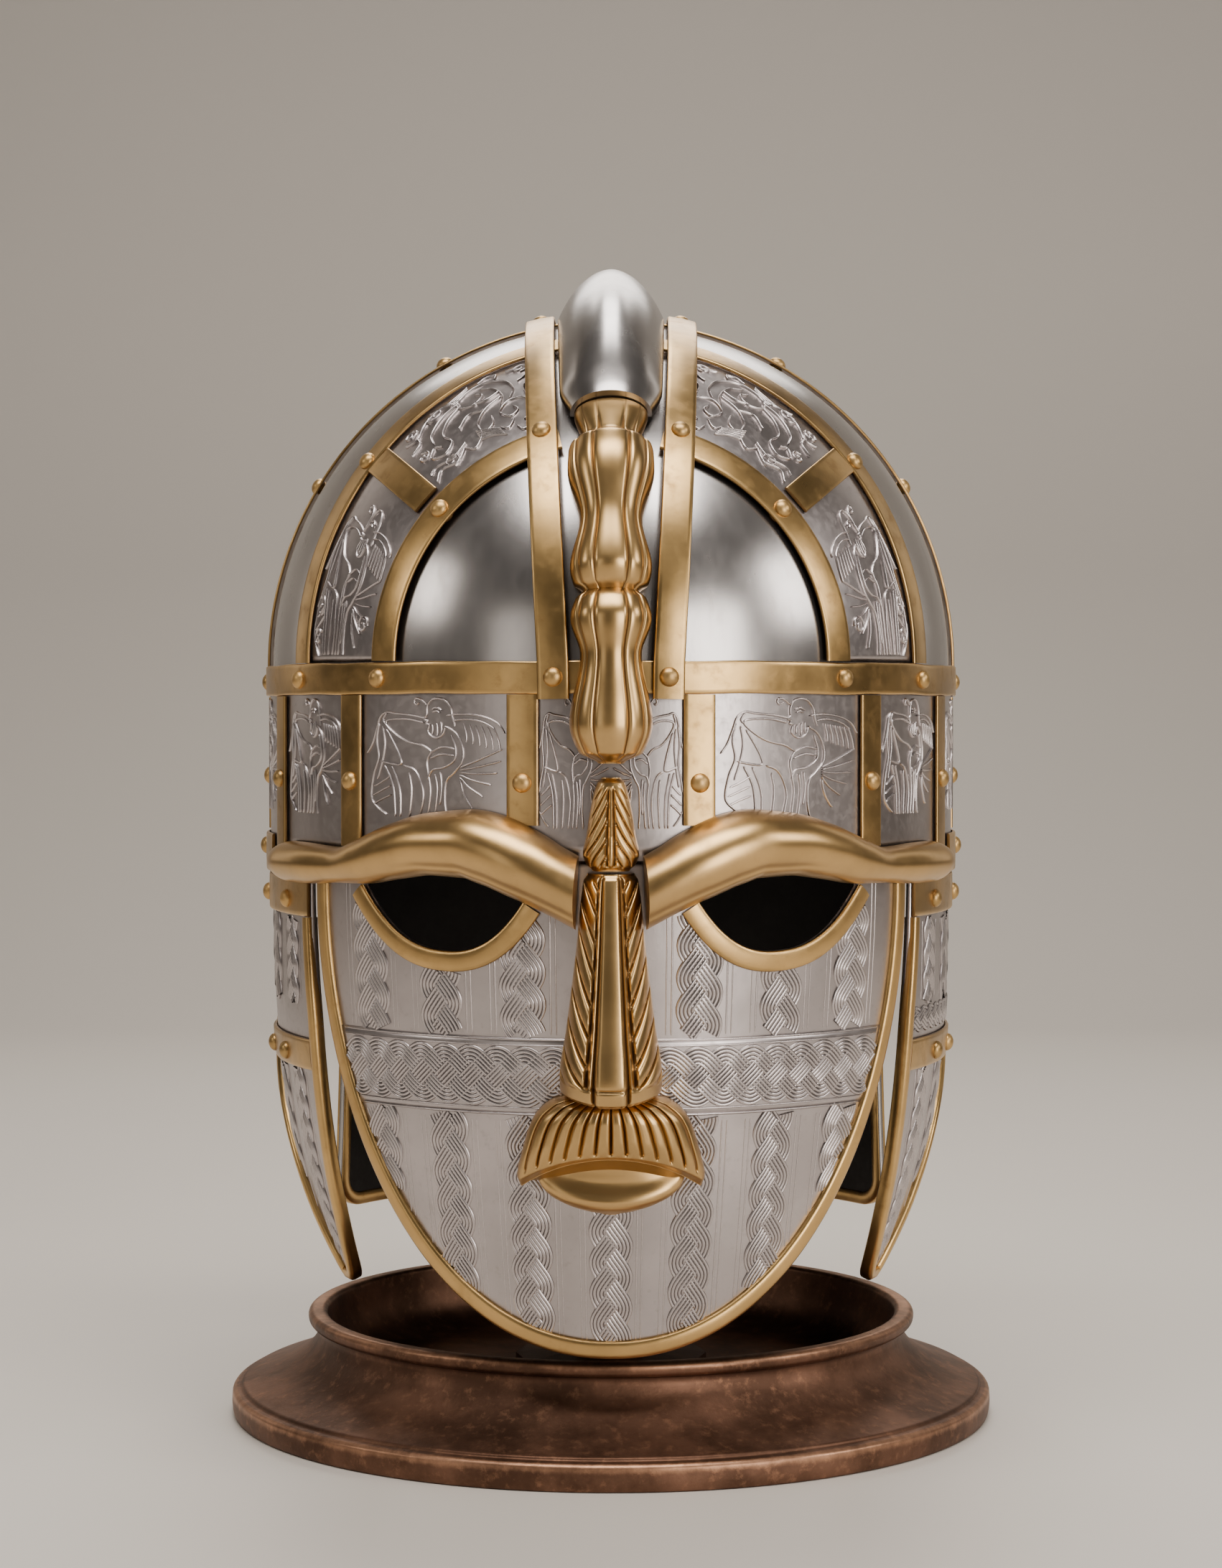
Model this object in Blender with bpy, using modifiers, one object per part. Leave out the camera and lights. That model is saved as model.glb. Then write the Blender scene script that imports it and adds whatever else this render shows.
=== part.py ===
"""Anglo-Saxon crested helmet with a face mask, cheek guards and a neck guard, on a turned dish stand.

The helmet faces -Y and the stand's foot is centred on the origin. The cap is an upright elliptical
wall under an ellipsoid dome. Everything on it is laid at its own lift off that skin: foil first, then
the riveted strips, then the crest. Mask, guards and neck guard carry the wall's ellipse on downwards.
Bearings go round from the face: 0 is the face, 90 degrees the +X side and 180 degrees the back.
"""

import math

import bmesh
import bpy
from mathutils import Vector

MM = 0.001

# Cap
CAP_HALF_WIDTH = 105.2 * MM
CAP_HALF_DEPTH = 122.7 * MM
DOME_RISE = 106.3 * MM
BROW_Z = 231.8 * MM
CAP_EDGE_Z = 169.4 * MM
CAP_WALL = 2.0 * MM
CAP_SIDES = 40
DOME_ROWS = 8
FACE_CUT_HALF_WIDTH = 86.6 * MM
FACE_CUT_Z = 176.5 * MM

# Layers on the skin, each clear of the one below
FOIL_LIFT = 0.6 * MM
FOIL_THICKNESS = 0.3 * MM
STRIP_LIFT = 1.4 * MM
STRIP_THICKNESS = 0.9 * MM
CREST_LIFT = 2.9 * MM
CREST_STRIP_THICKNESS = 1.2 * MM
CLEARANCE = 0.5 * MM

# Strips on the cap
BROW_BAND_WIDTH = 9.1 * MM
EDGE_BAND_WIDTH = 11.6 * MM
EDGE_BAND_START = 72.5
STRIP_WIDTH = 9.0 * MM
CREST_STRIP_WIDTH = 8.6 * MM
CREST_STRIP_FOOT_X = 15.5 * MM
CREST_STRIP_SPREAD = 5.6 * MM
OUTER_ARCH_Y = 65.5 * MM
OUTER_ARCH_LEAN = 8.5 * MM
INNER_ARCH_Y = 98.0 * MM
CROSS_STRIP_ANGLE = 41.0
FOIL_BOTTOM_Z = 178.0 * MM
LOWER_STRIP_BEARINGS = (13.2, 44.0, 67.0, 92.0, 122.0, 152.0)

# Crest
TUBE_MOUTH_ANGLE = 39.8
TUBE_MOUTH_HALF_WIDTH = 13.8 * MM
TUBE_HALF_WIDTH = 16.0 * MM
TUBE_MOUTH_HEIGHT = 9.3 * MM
TUBE_HEIGHT = 14.2 * MM
ORNAMENT_WIDTH = 23.6 * MM
ORNAMENT_HEIGHT = 12.5 * MM
ORNAMENT_TOP_Z = 299.5 * MM
ORNAMENT_BOTTOM_Z = 203.5 * MM

# Eyebrows, nose, moustache and lip
EYEBROW_LIFT = 2.0 * MM
EYEBROW_INNER_X = 11.4 * MM
EYEBROW_OUTER_X = 101.0 * MM
EYEBROW_INNER_Z = 169.7 * MM
EYEBROW_RISE = 11.3 * MM
EYEBROW_WIDTH = 22.5 * MM
EYEBROW_HEIGHT = 13.0 * MM
LEAF_TOP_Z = 199.6 * MM
LEAF_BOTTOM_Z = 173.9 * MM
LEAF_WIDTH = 15.2 * MM
LEAF_HEIGHT = 8.0 * MM
NOSE_TOP_Z = 173.1 * MM
NOSE_BOTTOM_Z = 112.2 * MM
NOSE_WIDTH = 27.0 * MM
NOSE_HEIGHT = 21.0 * MM
MOUSTACHE_TOP_Z = 111.7 * MM
MOUSTACHE_BOTTOM_Z = 90.5 * MM
MOUSTACHE_WIDTH = 50.6 * MM
MOUSTACHE_HEIGHT = 13.0 * MM
MOUSTACHE_PLEATS = 14
LIP_TOP_Z = 89.8 * MM
LIP_BOTTOM_Z = 77.8 * MM
LIP_WIDTH = 41.2 * MM
LIP_HEIGHT = 9.0 * MM

# Mask
MASK_HALF_WIDTH = 85.8 * MM
MASK_SIDE_Z = 168.0 * MM
MASK_DROP = 133.0 * MM
MASK_TOP_Z = FACE_CUT_Z - CLEARANCE
MASK_WALL = 1.6 * MM
MASK_TAPER = 0.16
MASK_ROUNDNESS = 2.15
MASK_RIM_WIDTH = 5.0 * MM
RIM_LIFT = 0.4 * MM
RIM_THICKNESS = 1.0 * MM
EYE_INNER_X = 24.4 * MM
EYE_OUTER_X = 69.4 * MM
EYE_INNER_Z = 165.0 * MM
EYE_OUTER_Z = 168.2 * MM
EYE_DIP = 15.7 * MM
EYE_ROUNDNESS = 2.4
EYE_RIM_WIDTH = 5.8 * MM

# Cheek guards
GUARD_TOP_Z = CAP_EDGE_Z - 0.8 * MM
GUARD_LENGTH = 121.2 * MM
GUARD_WALL = 1.5 * MM
GUARD_TUCK = 0.18
GUARD_RIM_WIDTH = 3.4 * MM
TOP_PLATE_HEIGHT = 11.0 * MM
MID_PLATE_Z = 116.8 * MM
MID_PLATE_HEIGHT = 9.2 * MM

# Neck guard
NECK_GUARD_BOTTOM_Z = 51.5 * MM
NECK_GUARD_BEARING = 121.5
NECK_GUARD_FLARE = 0.03
NECK_GUARD_WALL = 1.8 * MM
NECK_GUARD_CORNER = 10.0 * MM
NECK_RIM_WIDTH = 4.0 * MM

# Hidden leather tabs that the guards hang on
TAB_THICKNESS = 2.0 * MM
TAB_CLEARANCE = 0.8 * MM
TAB_RISE = 11.0 * MM
TAB_DROP = 13.0 * MM
GUARD_TAB_BEARINGS = (66.0, 92.0)
NECK_TAB_BEARINGS = (160.0, 200.0)

# Stand and the post inside the helmet
FOOT_RADIUS = 118.7 * MM
FOOT_EDGE = 7.5 * MM
LIP_RADIUS = 95.0 * MM
LIP_INNER_RADIUS = 88.7 * MM
STAND_HEIGHT = 31.5 * MM
LIP_DEPTH = 4.2 * MM
DISH_FLOOR_Z = 12.0 * MM
STAND_WALL = 5.0 * MM
FOOT_RING_RADIUS = 102.0 * MM
BOSS_RADIUS = 36.0 * MM
POST_RADIUS = 11.0 * MM
POST_FOOT_RADIUS = 30.0 * MM
POST_FOOT_HEIGHT = 3.5 * MM
POST_PAD_RADIUS = 22.0 * MM
POST_PAD_DEPTH = 7.0 * MM
POST_CLEARANCE = 0.7 * MM

# Cheek guard outline: share of the length down from the top edge, front and rear bearings in degrees
GUARD_OUTLINE = (
    # down, front, rear
    (0.00, 56.8, 100.0),
    (0.12, 56.5, 100.0),
    (0.24, 55.9, 99.0),
    (0.36, 55.3, 96.0),
    (0.48, 55.2, 89.5),
    (0.60, 55.4, 82.5),
    (0.72, 56.1, 77.0),
    (0.83, 57.2, 73.0),
    (0.92, 59.0, 69.2),
    (0.97, 60.6, 67.2),
    (1.00, 62.3, 65.8),
)

# Eyebrow: shares of its reach, rise, width and height, from the flat inner end to the temple knob
EYEBROW_SECTIONS = (
    # reach, rise, width, height
    (0.000, 0.00, 0.92, 0.92),
    (0.053, 0.14, 0.96, 0.98),
    (0.139, 0.56, 1.00, 1.00),
    (0.222, 0.87, 0.97, 0.96),
    (0.306, 1.00, 0.87, 0.90),
    (0.415, 0.98, 0.79, 0.81),
    (0.534, 0.78, 0.71, 0.72),
    (0.637, 0.52, 0.60, 0.62),
    (0.739, 0.36, 0.46, 0.50),
    (0.857, 0.35, 0.53, 0.56),
    (0.923, 0.35, 0.54, 0.56),
    (0.972, 0.35, 0.42, 0.42),
    (1.000, 0.35, 0.16, 0.16),
)

# Crest ornament: shares of its drop, width and height. A short neck, then two waisted gourds
ORNAMENT_SECTIONS = (
    # down, width, height
    (0.000, 0.86, 0.58),
    (0.082, 0.68, 0.62),
    (0.093, 0.72, 0.66),
    (0.118, 0.98, 0.92),
    (0.170, 1.00, 1.00),
    (0.318, 0.72, 0.78),
    (0.450, 0.93, 0.88),
    (0.498, 0.84, 0.70),
    (0.516, 0.64, 0.52),
    (0.534, 0.80, 0.68),
    (0.590, 0.92, 0.86),
    (0.690, 0.70, 0.74),
    (0.885, 0.94, 0.92),
    (0.970, 0.72, 0.70),
    (1.000, 0.30, 0.30),
)

# Nose leaf: shares of its drop, width and height
LEAF_SECTIONS = (
    # down, width, height
    (0.00, 0.18, 0.30),
    (0.10, 0.42, 0.55),
    (0.35, 0.68, 0.75),
    (0.62, 0.88, 0.92),
    (0.82, 1.00, 1.00),
    (0.94, 0.86, 0.95),
    (1.00, 0.66, 0.80),
)

# Nose: shares of its drop, width and height
NOSE_SECTIONS = (
    # down, width, height
    (0.00, 0.46, 0.34),
    (0.03, 0.53, 0.40),
    (0.35, 0.68, 0.58),
    (0.70, 0.87, 0.82),
    (0.92, 1.00, 1.00),
    (0.98, 0.99, 0.98),
    (1.00, 0.90, 0.88),
)

# Moustache: shares of its drop, width and height
MOUSTACHE_SECTIONS = (
    # down, width, height
    (0.00, 0.40, 0.70),
    (0.15, 0.60, 0.92),
    (0.55, 0.86, 1.00),
    (0.92, 1.00, 0.74),
    (1.00, 0.97, 0.52),
)

# Lip: shares of its drop, width and height
LIP_SECTIONS = (
    # down, width, height
    (0.00, 0.96, 0.62),
    (0.20, 1.00, 0.80),
    (0.50, 0.90, 1.00),
    (0.78, 0.64, 0.86),
    (0.94, 0.36, 0.52),
    (1.00, 0.16, 0.24),
)

# Finish: base colour, metallic, roughness
FINISHES = {
    "polished_steel": ((0.62, 0.62, 0.63), 1.0, 0.22),
    "silver_foil": ((0.78, 0.75, 0.75), 1.0, 0.34),
    "brass": ((0.72, 0.50, 0.22), 1.0, 0.28),
    "gilt_bronze": ((0.66, 0.44, 0.20), 1.0, 0.30),
    "dark_bronze": ((0.22, 0.11, 0.07), 1.0, 0.40),
    "leather": ((0.10, 0.06, 0.04), 0.0, 0.70),
}


def collection(name):
    made = bpy.data.collections.new(name)
    bpy.context.scene.collection.children.link(made)
    return made


def finish(name):
    """A Principled material for one of the finishes, made once."""
    material = bpy.data.materials.get(name)
    if material is None:
        colour, metallic, roughness = FINISHES[name]
        material = bpy.data.materials.new(name)
        material.use_nodes = True
        shader = material.node_tree.nodes["Principled BSDF"]
        shader.inputs["Base Color"].default_value = (*colour, 1.0)
        shader.inputs["Metallic"].default_value = metallic
        shader.inputs["Roughness"].default_value = roughness
    return material


def add_object(name, work, finish_name, home):
    """An object from a bmesh, shaded smooth, in a collection."""
    mesh = bpy.data.meshes.new(name)
    work.to_mesh(mesh)
    work.free()
    mesh.shade_smooth()
    mesh.set_sharp_from_angle(angle=math.radians(35))
    if finish_name:
        mesh.materials.append(finish(finish_name))
    made = bpy.data.objects.new(name, mesh)
    home.objects.link(made)
    return made


def mix(a, b, share):
    return a + (b - a) * share


def spread(count):
    """Shares from 0 to 1 at the ends of count equal steps."""
    return [i / count for i in range(count + 1)]


def on_wall(point, lift, scale_at):
    """Moves a point level onto an elliptical wall whose size changes with height, then off along its normal."""
    scale = scale_at(point.z)
    reach = math.hypot(point.x / CAP_HALF_WIDTH, point.y / CAP_HALF_DEPTH)
    x, y = point.x * scale / reach, point.y * scale / reach
    slope = (scale_at(point.z + MM) - scale_at(point.z - MM)) / (2 * MM)
    normal = Vector((x / CAP_HALF_WIDTH**2, y / CAP_HALF_DEPTH**2, -scale * slope)).normalized()
    return Vector((x, y, point.z)) + normal * lift


def on_cap(point, lift=0.0):
    """The cap: an upright wall up to the brow line and an ellipsoid above it."""
    if point.z <= BROW_Z:
        return on_wall(point, lift, lambda z: 1.0)
    x = point.x / CAP_HALF_WIDTH
    y = point.y / CAP_HALF_DEPTH
    z = (point.z - BROW_Z) / DOME_RISE
    reach = math.sqrt(x * x + y * y + z * z)
    x, y, z = x / reach, y / reach, z / reach
    normal = Vector((x / CAP_HALF_WIDTH, y / CAP_HALF_DEPTH, z / DOME_RISE)).normalized()
    return Vector((x * CAP_HALF_WIDTH, y * CAP_HALF_DEPTH, BROW_Z + z * DOME_RISE)) + normal * lift


def mask_scale(z):
    """The mask draws in towards the chin."""
    share = max(0.0, (MASK_SIDE_Z - z) / MASK_DROP)
    return 1.0 - MASK_TAPER * share**1.6


def on_mask(point, lift=0.0):
    return on_wall(point, lift, mask_scale)


def mask_point(x, z):
    """The place on the mask straight in front of x and z."""
    scale = mask_scale(z)
    share = x / (CAP_HALF_WIDTH * scale)
    return Vector((x, -CAP_HALF_DEPTH * scale * math.sqrt(1.0 - share * share), z))


def guard_scale(z):
    """A cheek guard tucks in under the jaw."""
    share = max(0.0, (GUARD_TOP_Z - z) / GUARD_LENGTH)
    return 1.0 - GUARD_TUCK * share**3


def on_guard(point, lift=0.0):
    return on_wall(point, lift, guard_scale)


def neck_scale(z):
    """The neck guard flares a little towards its lower edge."""
    share = max(0.0, (GUARD_TOP_Z - z) / (GUARD_TOP_Z - NECK_GUARD_BOTTOM_Z))
    return 1.0 + NECK_GUARD_FLARE * share * share


def on_neck(point, lift=0.0):
    return on_wall(point, lift, neck_scale)


def round_wall(bearing, z):
    """A point on the cap's ellipse at a bearing in degrees."""
    angle = math.radians(bearing)
    return Vector((CAP_HALF_WIDTH * math.sin(angle), -CAP_HALF_DEPTH * math.cos(angle), z))


def dome_point(angle, y):
    """A point on the dome in the upright plane at y, at an angle in degrees over the +X side."""
    angle = math.radians(angle)
    share = math.sqrt(1.0 - (y / CAP_HALF_DEPTH) ** 2)
    x = CAP_HALF_WIDTH * share * math.cos(angle)
    return Vector((x, y, BROW_Z + DOME_RISE * share * math.sin(angle)))


def meridian_point(x, angle):
    """A point on the dome in the upright plane at x, at an angle in degrees over the face side."""
    angle = math.radians(angle)
    share = math.sqrt(1.0 - (x / CAP_HALF_WIDTH) ** 2)
    y = -CAP_HALF_DEPTH * share * math.cos(angle)
    return Vector((x, y, BROW_Z + DOME_RISE * share * math.sin(angle)))


def face_line_point(z):
    """A point on the cap's middle line over the face."""
    share = max(0.0, (z - BROW_Z) / DOME_RISE)
    return Vector((0.0, -CAP_HALF_DEPTH * math.sqrt(1.0 - share * share), z))


def stations(path, seat, closed=False):
    """The place, the sideways direction and the outward direction at each point of a path on a surface."""
    places = [seat(point) for point in path]
    found = []
    for i, place in enumerate(places):
        before = places[i - 1] if i or closed else place
        after = places[(i + 1) % len(places)] if closed or i + 1 < len(places) else place
        outward = (seat(path[i], MM) - place).normalized()
        along = (after - before).normalized()
        found.append((place, along.cross(outward).normalized(), outward))
    return found


def sheet(name, grid, thickness, finish_name, home, closed=False, offset=1.0):
    """A grid of points as an open surface, thickened outwards (offset 1) or inwards (offset -1)."""
    work = bmesh.new()
    rows = [[work.verts.new(point) for point in row] for row in grid]
    if closed:
        rows.append(rows[0])
    for lower, upper in zip(rows, rows[1:]):
        for i in range(len(lower) - 1):
            work.faces.new((lower[i], lower[i + 1], upper[i + 1], upper[i]))
    made = add_object(name, work, finish_name, home)
    wall = made.modifiers.new("wall", "SOLIDIFY")
    wall.thickness = thickness
    wall.offset = offset
    wall.use_even_offset = True
    return made


def strip(name, path, width, seat, lift, thickness, finish_name, home, closed=False):
    """A flat metal strip bent along a path on a surface."""
    grid = []
    for place, side, _ in stations(path, seat, closed):
        grid.append([seat(place + side * (width * share), lift) for share in (-0.5, 0.5)])
    return sheet(name, grid, thickness, finish_name, home, closed)


def loft(name, rings, finish_name, home):
    """A closed solid through rings of points, capped at both ends."""
    work = bmesh.new()
    made = [[work.verts.new(point) for point in ring] for ring in rings]
    count = len(made[0])
    for ring, after in zip(made, made[1:]):
        for i in range(count):
            j = (i + 1) % count
            work.faces.new((ring[i], ring[j], after[j], after[i]))
    work.faces.new(made[0])
    work.faces.new(made[-1])
    bmesh.ops.recalc_face_normals(work, faces=work.faces[:])
    return add_object(name, work, finish_name, home)


def half_round(share):
    """Height of a half-round section at a share of its half width."""
    return math.sqrt(max(0.0, 1.0 - share * share))


def lobed(share):
    """A half-round section with a flat middle lobe and two rounded lobes on each side."""
    groove = 0.10 * abs(math.cos(2.5 * math.acos(max(-1.0, min(1.0, share)))))
    return half_round(share) * (0.90 + groove)


def ridged(share):
    """A gabled section: sloping cheeks up to a flat ridge in the middle."""
    ridge = 0.26
    if abs(share) < ridge:
        return 1.0
    return 0.86 * (1.0 - (abs(share) - ridge) / (1.0 - ridge)) ** 0.8


def relief(name, path, half_widths, heights, seat, lift, section, steps, finish_name, home):
    """A cast piece lying along a path on a surface, with a flat back and a shaped front."""
    rings = []
    for (place, side, _), half_width, height in zip(stations(path, seat), half_widths, heights):
        shares = [-math.cos(math.pi * step) for step in spread(steps)]
        front = [seat(place + side * (half_width * share), lift + height * section(share)) for share in shares]
        back_shares = shares[1:-1:2]
        back = [seat(place + side * (half_width * share), lift) for share in reversed(back_shares)]
        rings.append(front + back)
    return loft(name, rings, finish_name, home)


def relief_down(name, table, top_z, bottom_z, width, height, point_at, seat, lift, section, steps, finish_name, home):
    """A cast piece that runs down the middle line, from a table of shares of its drop, width and height."""
    path = [point_at(mix(top_z, bottom_z, down)) for down, _, _ in table]
    half_widths = [width / 2 * share for _, share, _ in table]
    heights = [height * share for _, _, share in table]
    return relief(name, path, half_widths, heights, seat, lift, section, steps, finish_name, home)


def mirrored(made, name, axis):
    """A copy of an object on the other side of the middle, as its own object."""
    work = bmesh.new()
    work.from_mesh(made.data)
    for vert in work.verts:
        vert.co[axis] = -vert.co[axis]
    bmesh.ops.reverse_faces(work, faces=work.faces[:])
    other = add_object(name, work, made.data.materials[0].name, made.users_collection[0])
    for modifier in made.modifiers:
        copy = other.modifiers.new(modifier.name, modifier.type)
        copy.thickness = modifier.thickness
        copy.offset = modifier.offset
        copy.use_even_offset = modifier.use_even_offset
    return other


def prism(name, outline, near, far, home):
    """A cutter: an outline in x and z, extruded along Y."""
    work = bmesh.new()
    face = work.faces.new([work.verts.new((x, near, z)) for x, z in outline])
    grown = bmesh.ops.extrude_face_region(work, geom=[face])
    for item in grown["geom"]:
        if isinstance(item, bmesh.types.BMVert):
            item.co.y = far
    bmesh.ops.recalc_face_normals(work, faces=work.faces[:])
    made = add_object(name, work, None, home)
    made.hide_render = True
    made.display_type = "WIRE"
    return made


def cut(target, cutter, operation="DIFFERENCE"):
    modifier = target.modifiers.new(cutter.name, "BOOLEAN")
    modifier.object = cutter
    modifier.operation = operation


def turned(name, profile, sides, finish_name, home):
    """A profile of radius and height pairs, from the top of the axis round its outer side to the bottom."""
    work = bmesh.new()
    verts = [work.verts.new((radius, 0.0, z)) for radius, z in profile]
    for first, second in zip(verts, verts[1:]):
        work.edges.new((first, second))
    made = add_object(name, work, finish_name, home)
    screw = made.modifiers.new("turn", "SCREW")
    screw.steps = sides
    screw.render_steps = sides
    screw.use_merge_vertices = True
    screw.merge_threshold = 0.0001 * MM
    return made


def build_stand(parts):
    waist = LIP_RADIUS - 3.0 * MM
    lip_under_z = STAND_HEIGHT - LIP_DEPTH
    flare = FOOT_RADIUS - waist
    fall = lip_under_z - FOOT_EDGE
    profile = [
        (0.0, DISH_FLOOR_Z),
        (0.72 * LIP_INNER_RADIUS, DISH_FLOOR_Z),
        (0.90 * LIP_INNER_RADIUS, mix(DISH_FLOOR_Z, STAND_HEIGHT, 0.10)),
        (0.97 * LIP_INNER_RADIUS, mix(DISH_FLOOR_Z, STAND_HEIGHT, 0.35)),
        (LIP_INNER_RADIUS, mix(DISH_FLOOR_Z, STAND_HEIGHT, 0.85)),
        (LIP_INNER_RADIUS + 1.6 * MM, STAND_HEIGHT),
        (LIP_RADIUS - 1.6 * MM, STAND_HEIGHT),
        (LIP_RADIUS, STAND_HEIGHT - 0.4 * LIP_DEPTH),
        (LIP_RADIUS - 0.8 * MM, lip_under_z),
        (waist, lip_under_z - 0.06 * fall),
        (waist + 0.04 * flare, lip_under_z - 0.30 * fall),
        (waist + 0.22 * flare, lip_under_z - 0.52 * fall),
        (waist + 0.55 * flare, lip_under_z - 0.76 * fall),
        (waist + 0.86 * flare, lip_under_z - 0.94 * fall),
        (FOOT_RADIUS, FOOT_EDGE - 1.0 * MM),
        (FOOT_RADIUS - 0.8 * MM, 0.0),
        (FOOT_RING_RADIUS, 0.0),
        (FOOT_RING_RADIUS - 1.0 * MM, DISH_FLOOR_Z - STAND_WALL),
        (BOSS_RADIUS + 1.0 * MM, DISH_FLOOR_Z - STAND_WALL),
        (BOSS_RADIUS, 0.0),
        (0.0, 0.0),
    ]
    turned("stand", profile, 36, "dark_bronze", parts)


def build_post(parts):
    def inner_dome_z(radius):
        """Height of the cap's inner skin over a radius, at its lowest."""
        half_width = CAP_HALF_WIDTH - CAP_WALL
        rise = DOME_RISE - CAP_WALL
        return BROW_Z + rise * math.sqrt(1.0 - (radius / half_width) ** 2) - POST_CLEARANCE

    foot_z = DISH_FLOOR_Z + CLEARANCE
    under_pad_z = inner_dome_z(0.0) - POST_PAD_DEPTH
    profile = [(POST_PAD_RADIUS * share, inner_dome_z(POST_PAD_RADIUS * share)) for share in spread(3)]
    profile += [
        (POST_PAD_RADIUS, under_pad_z),
        (POST_RADIUS, under_pad_z - POST_PAD_DEPTH),
        (POST_RADIUS, foot_z + POST_FOOT_HEIGHT + 2.0 * MM),
        (POST_FOOT_RADIUS, foot_z + POST_FOOT_HEIGHT),
        (POST_FOOT_RADIUS, foot_z),
        (0.0, foot_z),
    ]
    turned("post", profile, 12, "dark_bronze", parts)


def build_cap(parts, cutters):
    """The steel cap: wall and dome in one, with its lower edge cut higher over the face."""
    bearings = [360.0 * i / CAP_SIDES for i in range(CAP_SIDES)]
    work = bmesh.new()
    rows = [[work.verts.new(round_wall(bearing, z)) for bearing in bearings] for z in (CAP_EDGE_Z, BROW_Z)]
    for i in range(1, DOME_ROWS):
        angle = math.radians(90.0 * i / DOME_ROWS)
        z = BROW_Z + DOME_RISE * math.sin(angle)
        ring = [round_wall(bearing, z) for bearing in bearings]
        share = math.cos(angle)
        rows.append([work.verts.new((point.x * share, point.y * share, z)) for point in ring])
    apex = work.verts.new((0.0, 0.0, BROW_Z + DOME_RISE))
    for lower, upper in zip(rows, rows[1:]):
        for i in range(CAP_SIDES):
            j = (i + 1) % CAP_SIDES
            work.faces.new((lower[i], lower[j], upper[j], upper[i]))
    for i in range(CAP_SIDES):
        work.faces.new((rows[-1][i], rows[-1][(i + 1) % CAP_SIDES], apex))
    cap = add_object("cap", work, "polished_steel", parts)
    wall = cap.modifiers.new("wall", "SOLIDIFY")
    wall.thickness = CAP_WALL
    wall.offset = -1.0
    wall.use_even_offset = True
    low = CAP_EDGE_Z - 10 * MM
    side = FACE_CUT_HALF_WIDTH
    outline = [(-side, low), (side, low), (side, FACE_CUT_Z), (-side, FACE_CUT_Z)]
    cut(cap, prism("face_cut", outline, -2 * CAP_HALF_DEPTH, 0.0, cutters))


def build_foils(parts):
    """Pressed foil under the strips: one round the brow, and one in each panel between two arches."""
    bearings = [360.0 * i / CAP_SIDES for i in range(CAP_SIDES)]
    top = BROW_Z - BROW_BAND_WIDTH / 2
    grid = [[on_cap(round_wall(bearing, z), FOIL_LIFT) for z in (top, FOIL_BOTTOM_Z)] for bearing in bearings]
    sheet("brow_foil", grid, FOIL_THICKNESS, "silver_foil", parts, closed=True)
    low_angle = 1.5
    for facing, face in ((1, "front"), (-1, "back")):
        for hand, side in ((1, "left"), (-1, "right")):
            grid = []
            for share in spread(8):
                row = []
                for across in spread(3):
                    y = mix(outer_arch_y(low_angle + share * 74.0), INNER_ARCH_Y, across)
                    top_angle = crest_meeting_angle(y)
                    point = dome_point(mix(low_angle, top_angle, share), -y)
                    point = on_cap(point, FOIL_LIFT)
                    row.append(Vector((point.x * hand, point.y * facing, point.z)))
                grid.append(row if hand * facing < 0 else row[::-1])
            sheet(f"dome_foil_{face}_{side}", grid, FOIL_THICKNESS, "silver_foil", parts)


def outer_arch_y(angle):
    """Distance of the outer arch from the middle of the helmet: it leans in towards the top."""
    return OUTER_ARCH_Y - OUTER_ARCH_LEAN * math.sin(math.radians(angle)) ** 2


def crest_meeting_angle(y):
    """The angle at which an upright plane at y meets the middle of a crest side strip."""
    x = CREST_STRIP_FOOT_X + CREST_STRIP_SPREAD * math.sqrt(1.0 - (y / CAP_HALF_DEPTH) ** 2)
    half_chord = CAP_HALF_WIDTH * math.sqrt(1.0 - (y / CAP_HALF_DEPTH) ** 2)
    return math.degrees(math.acos(x / half_chord))


def build_bands(parts):
    """The band round the brow and the band along the lower edge at the sides and back."""
    bearings = [360.0 * i / CAP_SIDES for i in range(CAP_SIDES)]
    middle = BROW_Z - BROW_BAND_WIDTH / 2
    path = [round_wall(bearing, middle) for bearing in bearings]
    strip("brow_band", path, BROW_BAND_WIDTH, on_cap, STRIP_LIFT, STRIP_THICKNESS, "brass", parts, closed=True)
    middle = CAP_EDGE_Z + EDGE_BAND_WIDTH / 2
    path = [round_wall(mix(EDGE_BAND_START, 360 - EDGE_BAND_START, share), middle) for share in spread(22)]
    strip("edge_band", path, EDGE_BAND_WIDTH, on_cap, STRIP_LIFT, STRIP_THICKNESS, "brass", parts)


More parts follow.
